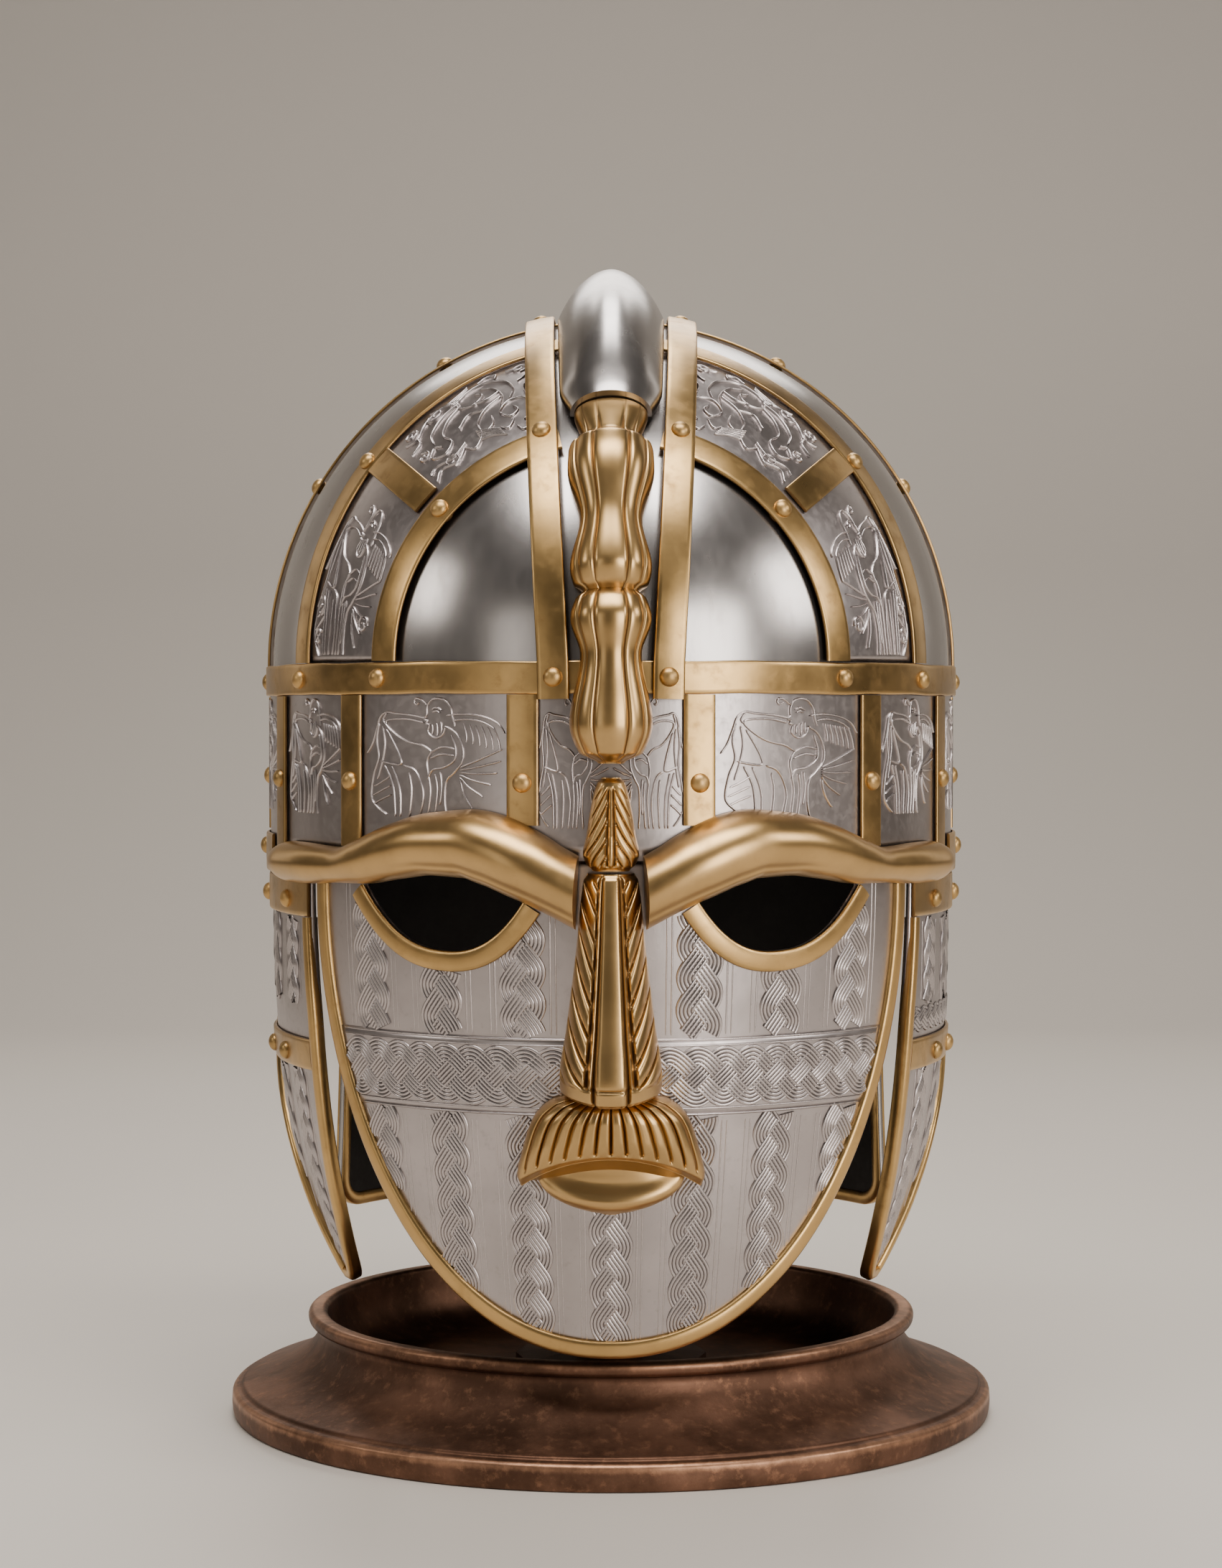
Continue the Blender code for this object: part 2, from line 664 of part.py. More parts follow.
def build_arches(parts):
    """Strips over the dome from side to side, under the crest: two in front, two behind and one at the ears."""
    foot = 2.8
    for facing, face in ((-1, "front"), (1, "back")):
        angles = [mix(foot, 180 - foot, share) for share in spread(18)]
        path = [dome_point(angle, facing * outer_arch_y(angle)) for angle in angles]
        strip(f"outer_arch_{face}", path, STRIP_WIDTH, on_cap, STRIP_LIFT, STRIP_THICKNESS, "brass", parts)
        angles = [mix(foot + 1.8, 178.2 - foot, share) for share in spread(14)]
        path = [dome_point(angle, facing * INNER_ARCH_Y) for angle in angles]
        strip(f"inner_arch_{face}", path, STRIP_WIDTH, on_cap, STRIP_LIFT, STRIP_THICKNESS, "brass", parts)
        for hand, side in ((1, "left"), (-1, "right")):
            near = outer_arch_y(CROSS_STRIP_ANGLE) + STRIP_WIDTH / 2 + 2.2 * CLEARANCE
            far = INNER_ARCH_Y - STRIP_WIDTH / 2 - 1.2 * CLEARANCE
            path = [dome_point(CROSS_STRIP_ANGLE, facing * mix(near, far, share)) for share in spread(2)]
            path = [Vector((point.x * hand, point.y, point.z)) for point in path]
            name = f"cross_strip_{face}_{side}"
            strip(name, path, STRIP_WIDTH, on_cap, STRIP_LIFT, STRIP_THICKNESS, "brass", parts)
    foot = 0.6
    path = [dome_point(mix(foot, 180 - foot, share), 0.0) for share in spread(20)]
    strip("ear_band", path, STRIP_WIDTH, on_cap, STRIP_LIFT, STRIP_THICKNESS, "brass", parts)


def eyebrow_top(x):
    """Height of an eyebrow's upper edge over x."""
    rows = eyebrow_rows()
    for (x0, z0, width0, _), (x1, z1, width1, _) in zip(rows, rows[1:]):
        if x0 <= x <= x1:
            share = (x - x0) / (x1 - x0)
            return mix(z0 + width0 / 2, z1 + width1 / 2, share)
    return rows[-1][1]


def lower_strip_foot(bearing):
    """The eyebrow's upper edge or the lower band's, whichever the strip comes down to."""
    if bearing > EDGE_BAND_START:
        return CAP_EDGE_Z + EDGE_BAND_WIDTH + CLEARANCE
    x = CAP_HALF_WIDTH * math.sin(math.radians(bearing))
    beside = [eyebrow_top(x + side * STRIP_WIDTH / 2) for side in (-1, 0, 1)]
    return max(beside) + 3 * CLEARANCE


def build_lower_strips(parts):
    """Upright strips between the brow band and the eyebrows or the lower band."""
    top = BROW_Z - BROW_BAND_WIDTH - CLEARANCE
    for number, bearing in enumerate(LOWER_STRIP_BEARINGS, 1):
        path = [round_wall(bearing, z) for z in (top, lower_strip_foot(bearing))]
        name = f"lower_strip_{number}_left"
        made = strip(name, path, STRIP_WIDTH, on_cap, STRIP_LIFT, STRIP_THICKNESS, "brass", parts)
        mirrored(made, f"lower_strip_{number}_right", 0)


def build_crest(parts):
    """The side strips, the steel tube between them and the cast ornament below each of its mouths."""
    path = []
    foot_drop = BROW_BAND_WIDTH + 1.5 * MM
    path.append(face_line_point(BROW_Z - foot_drop) + Vector((CREST_STRIP_FOOT_X, 0.0, 0.0)))
    for share in spread(22):
        angle = 180.0 * share
        spread_out = CREST_STRIP_SPREAD * math.sin(math.radians(angle))
        path.append(meridian_point(CREST_STRIP_FOOT_X + spread_out, angle))
    path.append(Vector((path[0].x, -path[0].y, path[0].z)))
    made = strip(
        "crest_strip_left", path, CREST_STRIP_WIDTH, on_cap, CREST_LIFT, CREST_STRIP_THICKNESS, "brass", parts
    )
    mirrored(made, "crest_strip_right", 0)

    steps = 13
    angles = [mix(TUBE_MOUTH_ANGLE, 180.0 - TUBE_MOUTH_ANGLE, share) for share in spread(steps)]
    path = [meridian_point(0.0, angle) for angle in angles]
    swell = [math.sin(math.pi * share) ** 0.7 for share in spread(steps)]
    half_widths = [mix(TUBE_MOUTH_HALF_WIDTH, TUBE_HALF_WIDTH, share) for share in swell]
    heights = [mix(TUBE_MOUTH_HEIGHT, TUBE_HEIGHT, share) for share in swell]
    relief(
        "crest_tube", path, half_widths, heights, on_cap, CREST_LIFT, half_round, 8, "polished_steel", parts
    )

    made = relief_down(
        "crest_ornament_front", ORNAMENT_SECTIONS, ORNAMENT_TOP_Z, ORNAMENT_BOTTOM_Z, ORNAMENT_WIDTH,
        ORNAMENT_HEIGHT, face_line_point, on_cap, CREST_LIFT, lobed, 10, "gilt_bronze", parts,
    )
    mirrored(made, "crest_ornament_back", 1)


def eyebrow_rows():
    """Each eyebrow section as x, z, width and height."""
    return [
        (
            mix(EYEBROW_INNER_X, EYEBROW_OUTER_X, reach),
            EYEBROW_INNER_Z + EYEBROW_RISE * rise,
            EYEBROW_WIDTH * width,
            EYEBROW_HEIGHT * height,
        )
        for reach, rise, width, height in EYEBROW_SECTIONS
    ]


def build_eyebrows(parts):
    rows = eyebrow_rows()
    path = []
    for x, z, _, _ in rows:
        share = x / (CAP_HALF_WIDTH + 2 * EYEBROW_LIFT)
        path.append(Vector((x, -CAP_HALF_DEPTH * math.sqrt(1.0 - share * share), z)))
    half_widths = [width / 2 for _, _, width, _ in rows]
    heights = [height for _, _, _, height in rows]
    made = relief(
        "eyebrow_left", path, half_widths, heights, on_cap, EYEBROW_LIFT, half_round, 8, "gilt_bronze", parts
    )
    mirrored(made, "eyebrow_right", 0)


def pleated(share):
    """A half-round section cut into pleats."""
    return half_round(share) ** 0.8 * (0.88 + 0.12 * abs(math.sin(share * MOUSTACHE_PLEATS * math.pi / 2)))


def build_face(parts):
    """The cast pieces down the middle of the face, each clear of the next."""
    relief_down(
        "nose_leaf", LEAF_SECTIONS, LEAF_TOP_Z, LEAF_BOTTOM_Z, LEAF_WIDTH, LEAF_HEIGHT,
        face_line_point, on_cap, STRIP_LIFT, ridged, 8, "gilt_bronze", parts,
    )

    def middle_of_mask(z):
        return mask_point(0.0, z)

    relief_down(
        "nose", NOSE_SECTIONS, NOSE_TOP_Z, NOSE_BOTTOM_Z, NOSE_WIDTH, NOSE_HEIGHT,
        middle_of_mask, on_mask, RIM_LIFT, ridged, 12, "gilt_bronze", parts,
    )
    relief_down(
        "moustache", MOUSTACHE_SECTIONS, MOUSTACHE_TOP_Z, MOUSTACHE_BOTTOM_Z, MOUSTACHE_WIDTH, MOUSTACHE_HEIGHT,
        middle_of_mask, on_mask, RIM_LIFT, pleated, 2 * MOUSTACHE_PLEATS, "gilt_bronze", parts,
    )
    relief_down(
        "lip", LIP_SECTIONS, LIP_TOP_Z, LIP_BOTTOM_Z, LIP_WIDTH, LIP_HEIGHT,
        middle_of_mask, on_mask, RIM_LIFT, half_round, 10, "gilt_bronze", parts,
    )


def mask_outline(inset, steps):
    """The mask's edge from the +X temple round the chin to the other, as x and z pairs, drawn in by an inset."""
    half_width = MASK_HALF_WIDTH - inset
    drop = MASK_DROP - inset
    outline = []
    for share in spread(steps):
        angle = math.pi * (0.5 - share)
        x = half_width * math.copysign(abs(math.sin(angle)) ** (2 / MASK_ROUNDNESS), math.sin(angle))
        outline.append((x, MASK_SIDE_Z - drop * math.cos(angle)))
    return outline


def eye_edge(share, outset=0.0):
    """The lower edge of the +X eye opening at a share from its inner corner, moved out of it by an outset."""

    def edge(share):
        across = 2 * share - 1
        dip = EYE_DIP * (1.0 - abs(across) ** EYE_ROUNDNESS)
        return Vector((mix(EYE_INNER_X, EYE_OUTER_X, share), mix(EYE_INNER_Z, EYE_OUTER_Z, share) - dip))

    along = (edge(min(1.0, share + 0.01)) - edge(max(0.0, share - 0.01))).normalized()
    return edge(share) + Vector((along.y, -along.x)) * outset


def build_mask(parts, cutters):
    """The steel face mask, cut to its outline, with an open notch under each eyebrow for the eye."""
    widest = 56.5
    grid = []
    for down in spread(10):
        z = mix(MASK_TOP_Z, MASK_SIDE_Z - MASK_DROP - 3 * MM, down)
        row = [on_mask(round_wall(mix(-widest, widest, across), z)) for across in spread(16)]
        grid.append(row[::-1])
    mask = sheet("mask", grid, MASK_WALL, "silver_foil", parts, offset=-1.0)
    outline = mask_outline(0.0, 30)
    outline += [(-MASK_HALF_WIDTH, MASK_TOP_Z - CLEARANCE), (MASK_HALF_WIDTH, MASK_TOP_Z - CLEARANCE)]
    cut(mask, prism("mask_outline", outline, -2 * CAP_HALF_DEPTH, 0.0, cutters), "INTERSECT")
    for hand, side in ((1, "left"), (-1, "right")):
        notch = [eye_edge(share) for share in spread(14)]
        outline = [(hand * x, z) for x, z in notch]
        outline += [(hand * EYE_OUTER_X, 2 * MASK_TOP_Z - MASK_SIDE_Z), (hand * EYE_INNER_X, 2 * MASK_TOP_Z - MASK_SIDE_Z)]
        cut(mask, prism(f"eye_cut_{side}", outline, -2 * CAP_HALF_DEPTH, 0.0, cutters))
        path = [eye_edge(share, EYE_RIM_WIDTH / 2) for share in spread(14)]
        path = [mask_point(hand * x, z) for x, z in path]
        strip(f"eye_rim_{side}", path, EYE_RIM_WIDTH, on_mask, RIM_LIFT, RIM_THICKNESS, "brass", parts)
    path = [mask_point(x, z) for x, z in mask_outline(MASK_RIM_WIDTH / 2, 26)]
    strip("mask_rim", path, MASK_RIM_WIDTH, on_mask, RIM_LIFT, RIM_THICKNESS, "brass", parts)


def guard_edges(down):
    """Front and rear bearings of a cheek guard at a share of its length."""
    for (down0, front0, rear0), (down1, front1, rear1) in zip(GUARD_OUTLINE, GUARD_OUTLINE[1:]):
        if down <= down1:
            share = (down - down0) / (down1 - down0)
            return mix(front0, front1, share), mix(rear0, rear1, share)
    return GUARD_OUTLINE[-1][1:]


def guard_z(down):
    return GUARD_TOP_Z - GUARD_LENGTH * down


def guard_row(down, seat_lift, inset, across_steps):
    """A row of points across a cheek guard, kept an inset in bearing away from its two edges."""
    front, rear = guard_edges(down)
    return [
        on_guard(round_wall(mix(front + inset, rear - inset, across), guard_z(down)), seat_lift)
        for across in spread(across_steps)
    ]


def build_cheek_guards(parts):
    """Each cheek guard with its brass edge, and the plates across its top and middle."""
    downs = [down for down, _, _ in GUARD_OUTLINE]
    grid = [guard_row(down, 0.0, 0.0, 5)[::-1] for down in downs]
    made = sheet("cheek_guard_left", grid, GUARD_WALL, "silver_foil", parts, offset=-1.0)
    mirrored(made, "cheek_guard_right", 0)

    half_rim = math.degrees(GUARD_RIM_WIDTH / 2 / CAP_HALF_WIDTH)
    edge_downs = [down for down in downs if TOP_PLATE_HEIGHT + CLEARANCE < down * GUARD_LENGTH]
    start = (TOP_PLATE_HEIGHT + CLEARANCE) / GUARD_LENGTH
    last = 1.0 - GUARD_RIM_WIDTH / 2 / GUARD_LENGTH
    front_downs = [start] + [min(down, last) for down in edge_downs]
    front_path = [round_wall(guard_edges(down)[0] + half_rim, guard_z(down)) for down in front_downs]
    rear_path = [round_wall(guard_edges(down)[1] - half_rim, guard_z(down)) for down in front_downs]
    path = rear_path + front_path[::-1]
    made = strip(
        "cheek_rim_left", path, GUARD_RIM_WIDTH, on_guard, RIM_LIFT, RIM_THICKNESS, "brass", parts
    )
    mirrored(made, "cheek_rim_right", 0)

    for name, top, height, inset in (
        ("cheek_top_plate", GUARD_TOP_Z, TOP_PLATE_HEIGHT, 0.0),
        ("cheek_mid_plate", MID_PLATE_Z + MID_PLATE_HEIGHT / 2, MID_PLATE_HEIGHT, 2 * half_rim + 0.5),
    ):
        grid = []
        for z in (top, top - height):
            grid.append(guard_row((GUARD_TOP_Z - z) / GUARD_LENGTH, RIM_LIFT, inset, 5)[::-1])
        made = sheet(f"{name}_left", grid, RIM_THICKNESS, "brass", parts)
        mirrored(made, f"{name}_right", 0)


def neck_edge(z):
    """How far a rounded lower corner draws the neck guard's side edge in, in degrees."""
    short = max(0.0, NECK_GUARD_CORNER - (z - NECK_GUARD_BOTTOM_Z))
    inset = NECK_GUARD_CORNER - math.sqrt(NECK_GUARD_CORNER**2 - min(short, NECK_GUARD_CORNER) ** 2)
    return math.degrees(inset / CAP_HALF_WIDTH)


def build_neck_guard(parts):
    """The curved plate over the nape with rounded lower corners, and its brass edge."""
    corner_heights = [
        NECK_GUARD_BOTTOM_Z + NECK_GUARD_CORNER * (1 - math.cos(math.pi / 2 * share)) for share in spread(4)
    ]
    heights = [mix(GUARD_TOP_Z, corner_heights[-1], share) for share in spread(4)]
    heights += corner_heights[-2::-1]
    grid = []
    for z in heights:
        start = NECK_GUARD_BEARING + neck_edge(z)
        row = [on_neck(round_wall(mix(start, 360 - start, across), z)) for across in spread(10)]
        grid.append(row[::-1])
    sheet("neck_guard", grid, NECK_GUARD_WALL, "polished_steel", parts, offset=-1.0)

    half_rim = math.degrees(NECK_RIM_WIDTH / 2 / CAP_HALF_WIDTH)
    low_z = NECK_GUARD_BOTTOM_Z + NECK_RIM_WIDTH / 2
    side = [round_wall(NECK_GUARD_BEARING + half_rim, mix(GUARD_TOP_Z, corner_heights[-1], share)) for share in spread(4)]
    inner = NECK_GUARD_CORNER - NECK_RIM_WIDTH / 2
    corner = []
    for share in spread(4)[1:]:
        angle = math.pi / 2 * share
        bearing = NECK_GUARD_BEARING + half_rim + math.degrees(inner * (1 - math.cos(angle)) / CAP_HALF_WIDTH)
        corner.append(round_wall(bearing, low_z + inner * (1 - math.sin(angle))))
    start = NECK_GUARD_BEARING + half_rim + math.degrees(inner / CAP_HALF_WIDTH)
    base = [round_wall(mix(start, 360 - start, share), low_z) for share in spread(14)[1:-1]]
    other = [Vector((-point.x, point.y, point.z)) for point in reversed(side + corner)]
    path = side + corner + base + other
    strip("neck_rim", path[::-1], NECK_RIM_WIDTH, on_neck, RIM_LIFT, RIM_THICKNESS, "brass", parts)


def build_tabs(parts):
    """Plain leather tabs riveted inside, which carry the guards from the cap's edge."""
    lift = -(CAP_WALL + TAB_CLEARANCE)
    heights = (CAP_EDGE_Z + TAB_RISE, GUARD_TOP_Z, GUARD_TOP_Z - TAB_DROP)
    for name, seat, (start, end) in (
        ("cheek_tab_left", on_guard, GUARD_TAB_BEARINGS),
        ("neck_tab", on_neck, NECK_TAB_BEARINGS),
    ):
        grid = []
        for z in heights:
            row = [seat(round_wall(mix(start, end, across), z), lift) for across in spread(5)]
            grid.append(row[::-1])
        made = sheet(name, grid, TAB_THICKNESS, "leather", parts, offset=-1.0)
        if name == "cheek_tab_left":
            mirrored(made, "cheek_tab_right", 0)


def main():
    for old in list(bpy.data.objects):
        bpy.data.objects.remove(old, do_unlink=True)
    parts = collection("anglo_saxon_helmet_on_stand")
    cutters = collection("cutters")
    build_stand(parts)
    build_post(parts)
    build_cap(parts, cutters)
    build_foils(parts)
    build_bands(parts)
    build_arches(parts)
    build_lower_strips(parts)
    build_crest(parts)
    build_eyebrows(parts)
    build_face(parts)
    build_mask(parts, cutters)
    build_cheek_guards(parts)
    build_neck_guard(parts)
    build_tabs(parts)


main()
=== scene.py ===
"""Looks for the crested helmet on its dish stand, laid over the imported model.

The helmet faces -Y and everything is in metres. The cap is an upright elliptical wall under an
ellipsoid dome, and every strip, foil and casting is laid at its own lift off that skin. Mask, guards
and neck guard carry the wall's ellipse on downwards. Bearings go round from the face, 90 degrees
being the +X side.
"""

import math

import bmesh
import bpy
from bpy.props import FloatProperty, FloatVectorProperty, PointerProperty
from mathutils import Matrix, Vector


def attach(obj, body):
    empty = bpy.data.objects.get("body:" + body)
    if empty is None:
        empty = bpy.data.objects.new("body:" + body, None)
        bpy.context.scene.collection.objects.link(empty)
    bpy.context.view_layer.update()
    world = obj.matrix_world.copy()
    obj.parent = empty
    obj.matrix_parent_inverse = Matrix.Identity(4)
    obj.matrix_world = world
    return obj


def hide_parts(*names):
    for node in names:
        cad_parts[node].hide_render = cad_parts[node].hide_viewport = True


bl_info = {
    "name": "Crested Helmet on a Dish Stand",
    "version": (1, 0, 0),
    "blender": (4, 5, 0),
    "location": "View3D > Sidebar > Helmet",
    "description": "Builds a crested helmet with a face mask over its packed model",
    "category": "Add Mesh",
}

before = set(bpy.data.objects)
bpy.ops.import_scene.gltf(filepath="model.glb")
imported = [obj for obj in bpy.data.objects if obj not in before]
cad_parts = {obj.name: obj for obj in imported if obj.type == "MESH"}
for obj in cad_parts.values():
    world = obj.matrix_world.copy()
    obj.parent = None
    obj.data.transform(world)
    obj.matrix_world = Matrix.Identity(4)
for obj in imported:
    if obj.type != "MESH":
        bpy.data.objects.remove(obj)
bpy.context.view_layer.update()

MM = 0.001

# Cap
CAP_HALF_WIDTH = 105.2 * MM
CAP_HALF_DEPTH = 122.7 * MM
DOME_RISE = 106.3 * MM
BROW_Z = 231.8 * MM
CAP_EDGE_Z = 169.4 * MM
CAP_WALL = 2.0 * MM
FACE_CUT_HALF_WIDTH = 86.6 * MM
FACE_CUT_Z = 176.5 * MM

# Layers on the skin, each clear of the one below
FOIL_LIFT = 0.6 * MM
FOIL_THICKNESS = 0.3 * MM
STRIP_LIFT = 1.4 * MM
STRIP_THICKNESS = 0.9 * MM
CREST_LIFT = 2.9 * MM
CREST_STRIP_THICKNESS = 1.2 * MM
CLEARANCE = 0.5 * MM

# Strips on the cap
BROW_BAND_WIDTH = 9.1 * MM
EDGE_BAND_WIDTH = 11.6 * MM
EDGE_BAND_START = 72.5
STRIP_WIDTH = 9.0 * MM
CREST_STRIP_WIDTH = 8.6 * MM
CREST_STRIP_FOOT_X = 15.5 * MM
CREST_STRIP_SPREAD = 5.6 * MM
OUTER_ARCH_Y = 65.5 * MM
OUTER_ARCH_LEAN = 8.5 * MM
INNER_ARCH_Y = 98.0 * MM
CROSS_STRIP_ANGLE = 41.0
FOIL_BOTTOM_Z = 178.0 * MM
LOWER_STRIP_BEARINGS = (13.2, 44.0, 67.0, 92.0, 122.0, 152.0)

# Crest
TUBE_MOUTH_ANGLE = 39.8
TUBE_MOUTH_HALF_WIDTH = 13.8 * MM
TUBE_HALF_WIDTH = 16.0 * MM
TUBE_MOUTH_HEIGHT = 9.3 * MM
TUBE_HEIGHT = 14.2 * MM
ORNAMENT_WIDTH = 23.6 * MM
ORNAMENT_HEIGHT = 12.5 * MM
ORNAMENT_TOP_Z = 299.5 * MM
ORNAMENT_BOTTOM_Z = 203.5 * MM

# Eyebrows, nose, moustache and lip
EYEBROW_LIFT = 2.0 * MM
EYEBROW_INNER_X = 11.4 * MM
EYEBROW_OUTER_X = 101.0 * MM
EYEBROW_INNER_Z = 169.7 * MM
EYEBROW_RISE = 11.3 * MM
EYEBROW_WIDTH = 22.5 * MM
EYEBROW_HEIGHT = 13.0 * MM
LEAF_TOP_Z = 199.6 * MM
LEAF_BOTTOM_Z = 173.9 * MM
LEAF_WIDTH = 15.2 * MM
LEAF_HEIGHT = 8.0 * MM
NOSE_TOP_Z = 173.1 * MM
NOSE_BOTTOM_Z = 112.2 * MM
NOSE_WIDTH = 27.0 * MM
NOSE_HEIGHT = 21.0 * MM
MOUSTACHE_TOP_Z = 111.7 * MM
MOUSTACHE_BOTTOM_Z = 90.5 * MM
MOUSTACHE_WIDTH = 50.6 * MM
MOUSTACHE_HEIGHT = 13.0 * MM
MOUSTACHE_PLEATS = 14
LIP_TOP_Z = 89.8 * MM
LIP_BOTTOM_Z = 77.8 * MM
LIP_WIDTH = 41.2 * MM
LIP_HEIGHT = 9.0 * MM

# Mask
MASK_HALF_WIDTH = 85.8 * MM
MASK_SIDE_Z = 168.0 * MM
MASK_DROP = 133.0 * MM
MASK_TOP_Z = FACE_CUT_Z - CLEARANCE
MASK_WALL = 1.6 * MM
MASK_TAPER = 0.16
MASK_ROUNDNESS = 2.15
MASK_RIM_WIDTH = 5.0 * MM
RIM_LIFT = 0.4 * MM
RIM_THICKNESS = 1.0 * MM
EYE_INNER_X = 24.4 * MM
EYE_OUTER_X = 69.4 * MM
EYE_INNER_Z = 165.0 * MM
EYE_OUTER_Z = 168.2 * MM
EYE_DIP = 15.7 * MM
EYE_ROUNDNESS = 2.4
EYE_RIM_WIDTH = 5.8 * MM

# Cheek guards
GUARD_TOP_Z = CAP_EDGE_Z - 0.8 * MM
GUARD_LENGTH = 121.2 * MM
GUARD_WALL = 1.5 * MM
GUARD_TUCK = 0.18
GUARD_RIM_WIDTH = 3.4 * MM
TOP_PLATE_HEIGHT = 11.0 * MM
MID_PLATE_Z = 116.8 * MM
MID_PLATE_HEIGHT = 9.2 * MM

# Neck guard
NECK_GUARD_BOTTOM_Z = 51.5 * MM
NECK_GUARD_BEARING = 121.5
NECK_GUARD_FLARE = 0.03
NECK_GUARD_WALL = 1.8 * MM
NECK_GUARD_CORNER = 10.0 * MM
NECK_RIM_WIDTH = 4.0 * MM

# Stand
FOOT_RADIUS = 118.7 * MM
FOOT_EDGE = 7.5 * MM
LIP_RADIUS = 95.0 * MM
LIP_INNER_RADIUS = 88.7 * MM
STAND_HEIGHT = 31.5 * MM
LIP_DEPTH = 4.2 * MM
DISH_FLOOR_Z = 12.0 * MM
STAND_WALL = 5.0 * MM
FOOT_RING_RADIUS = 102.0 * MM
BOSS_RADIUS = 36.0 * MM

# Pressed relief, in millimetres. A chart has so many millimetres round the wall to a radian of bearing
CHART_REACH = 108.0
PLAIT_STEP = 0.8
PLAIT_SNAP = 3.0
PLAIT_LIFT = 0.15
PLAIT_WEAVE = 0.13
PLAIT_CORD_HEIGHT = 0.34

# Wear and painted shade of a plain face, on a scale from 0 in a groove, painted dark as shade, to 1 on a
# rubbed edge
PLAIN_WEAR_AND_SHADE = 0.6

# Cheek guard outline: share of the length down from the top edge, front and rear bearings in degrees
GUARD_OUTLINE = (
    # down, front, rear
    (0.00, 56.8, 100.0),
    (0.12, 56.5, 100.0),
    (0.24, 55.9, 99.0),
    (0.36, 55.3, 96.0),
    (0.48, 55.2, 89.5),
    (0.60, 55.4, 82.5),
    (0.72, 56.1, 77.0),
    (0.83, 57.2, 73.0),
    (0.92, 59.0, 69.2),
    (0.97, 60.6, 67.2),
    (1.00, 62.3, 65.8),
)

# Eyebrow: shares of its reach, rise, width and height, from the flat inner end to the temple knob
EYEBROW_SECTIONS = (
    # reach, rise, width, height
    (0.000, 0.00, 0.92, 0.92),
    (0.053, 0.14, 0.96, 0.98),
    (0.139, 0.56, 1.00, 1.00),
    (0.222, 0.87, 0.97, 0.96),
    (0.306, 1.00, 0.87, 0.90),
    (0.415, 0.98, 0.79, 0.81),
    (0.534, 0.78, 0.71, 0.72),
    (0.637, 0.52, 0.60, 0.62),
    (0.739, 0.36, 0.46, 0.50),
    (0.857, 0.35, 0.53, 0.56),
    (0.923, 0.35, 0.54, 0.56),
    (0.972, 0.35, 0.42, 0.42),
    (1.000, 0.35, 0.16, 0.16),
)

# Crest ornament: shares of its drop, width and height. A short neck, then two waisted gourds
ORNAMENT_SECTIONS = (
    # down, width, height
    (0.000, 0.86, 0.58),
    (0.082, 0.68, 0.62),
    (0.093, 0.72, 0.66),
    (0.118, 0.98, 0.92),
    (0.170, 1.00, 1.00),
    (0.318, 0.72, 0.78),
    (0.450, 0.93, 0.88),
    (0.498, 0.84, 0.70),
    (0.516, 0.64, 0.52),
    (0.534, 0.80, 0.68),
    (0.590, 0.92, 0.86),
    (0.690, 0.70, 0.74),
    (0.885, 0.94, 0.92),
    (0.970, 0.72, 0.70),
    (1.000, 0.30, 0.30),
)

# Nose leaf: shares of its drop, width and height
LEAF_SECTIONS = (
    # down, width, height
    (0.00, 0.34, 0.42),
    (0.06, 0.50, 0.60),
    (0.35, 0.74, 0.80),
    (0.62, 0.88, 0.92),
    (0.82, 1.00, 1.00),
    (0.94, 0.86, 0.95),
    (1.00, 0.66, 0.80),
)

# Nose: shares of its drop, width and height
NOSE_SECTIONS = (
    # down, width, height
    (0.00, 0.46, 0.34),
    (0.03, 0.53, 0.40),
    (0.35, 0.68, 0.58),
    (0.70, 0.87, 0.82),
    (0.92, 1.00, 1.00),
    (0.98, 0.99, 0.98),
    (1.00, 0.90, 0.88),
)

# Moustache: shares of its drop, width and height
MOUSTACHE_SECTIONS = (
    # down, width, height
    (0.00, 0.40, 0.70),
    (0.15, 0.62, 0.92),
    (0.35, 0.80, 1.00),
    (0.60, 0.91, 1.00),
    (0.90, 1.00, 0.84),
    (1.00, 0.98, 0.60),
)


def mix(a, b, share):
    return a + (b - a) * share


def spread(count):
    """Shares from 0 to 1 at the ends of count equal steps."""
    return [i / count for i in range(count + 1)]


def on_wall(point, lift, scale_at):
    """Moves a point onto an elliptical wall whose size changes with height, then off along its normal."""
    scale = scale_at(point.z)
    reach = math.hypot(point.x / CAP_HALF_WIDTH, point.y / CAP_HALF_DEPTH)
    x, y = point.x * scale / reach, point.y * scale / reach
    slope = (scale_at(point.z + MM) - scale_at(point.z - MM)) / (2 * MM)
    normal = Vector((x / CAP_HALF_WIDTH**2, y / CAP_HALF_DEPTH**2, -scale * slope)).normalized()
    return Vector((x, y, point.z)) + normal * lift


def on_cap(point, lift=0.0):
    """The cap: an upright wall up to the brow line and an ellipsoid above it."""
    if point.z <= BROW_Z:
        return on_wall(point, lift, lambda z: 1.0)
    x = point.x / CAP_HALF_WIDTH
    y = point.y / CAP_HALF_DEPTH
    z = (point.z - BROW_Z) / DOME_RISE
    reach = math.sqrt(x * x + y * y + z * z)
    x, y, z = x / reach, y / reach, z / reach
    normal = Vector((x / CAP_HALF_WIDTH, y / CAP_HALF_DEPTH, z / DOME_RISE)).normalized()
    return Vector((x * CAP_HALF_WIDTH, y * CAP_HALF_DEPTH, BROW_Z + z * DOME_RISE)) + normal * lift


def mask_scale(z):
    """The mask draws in towards the chin."""
    share = max(0.0, (MASK_SIDE_Z - z) / MASK_DROP)
    return 1.0 - MASK_TAPER * share**1.6


def on_mask(point, lift=0.0):
    return on_wall(point, lift, mask_scale)


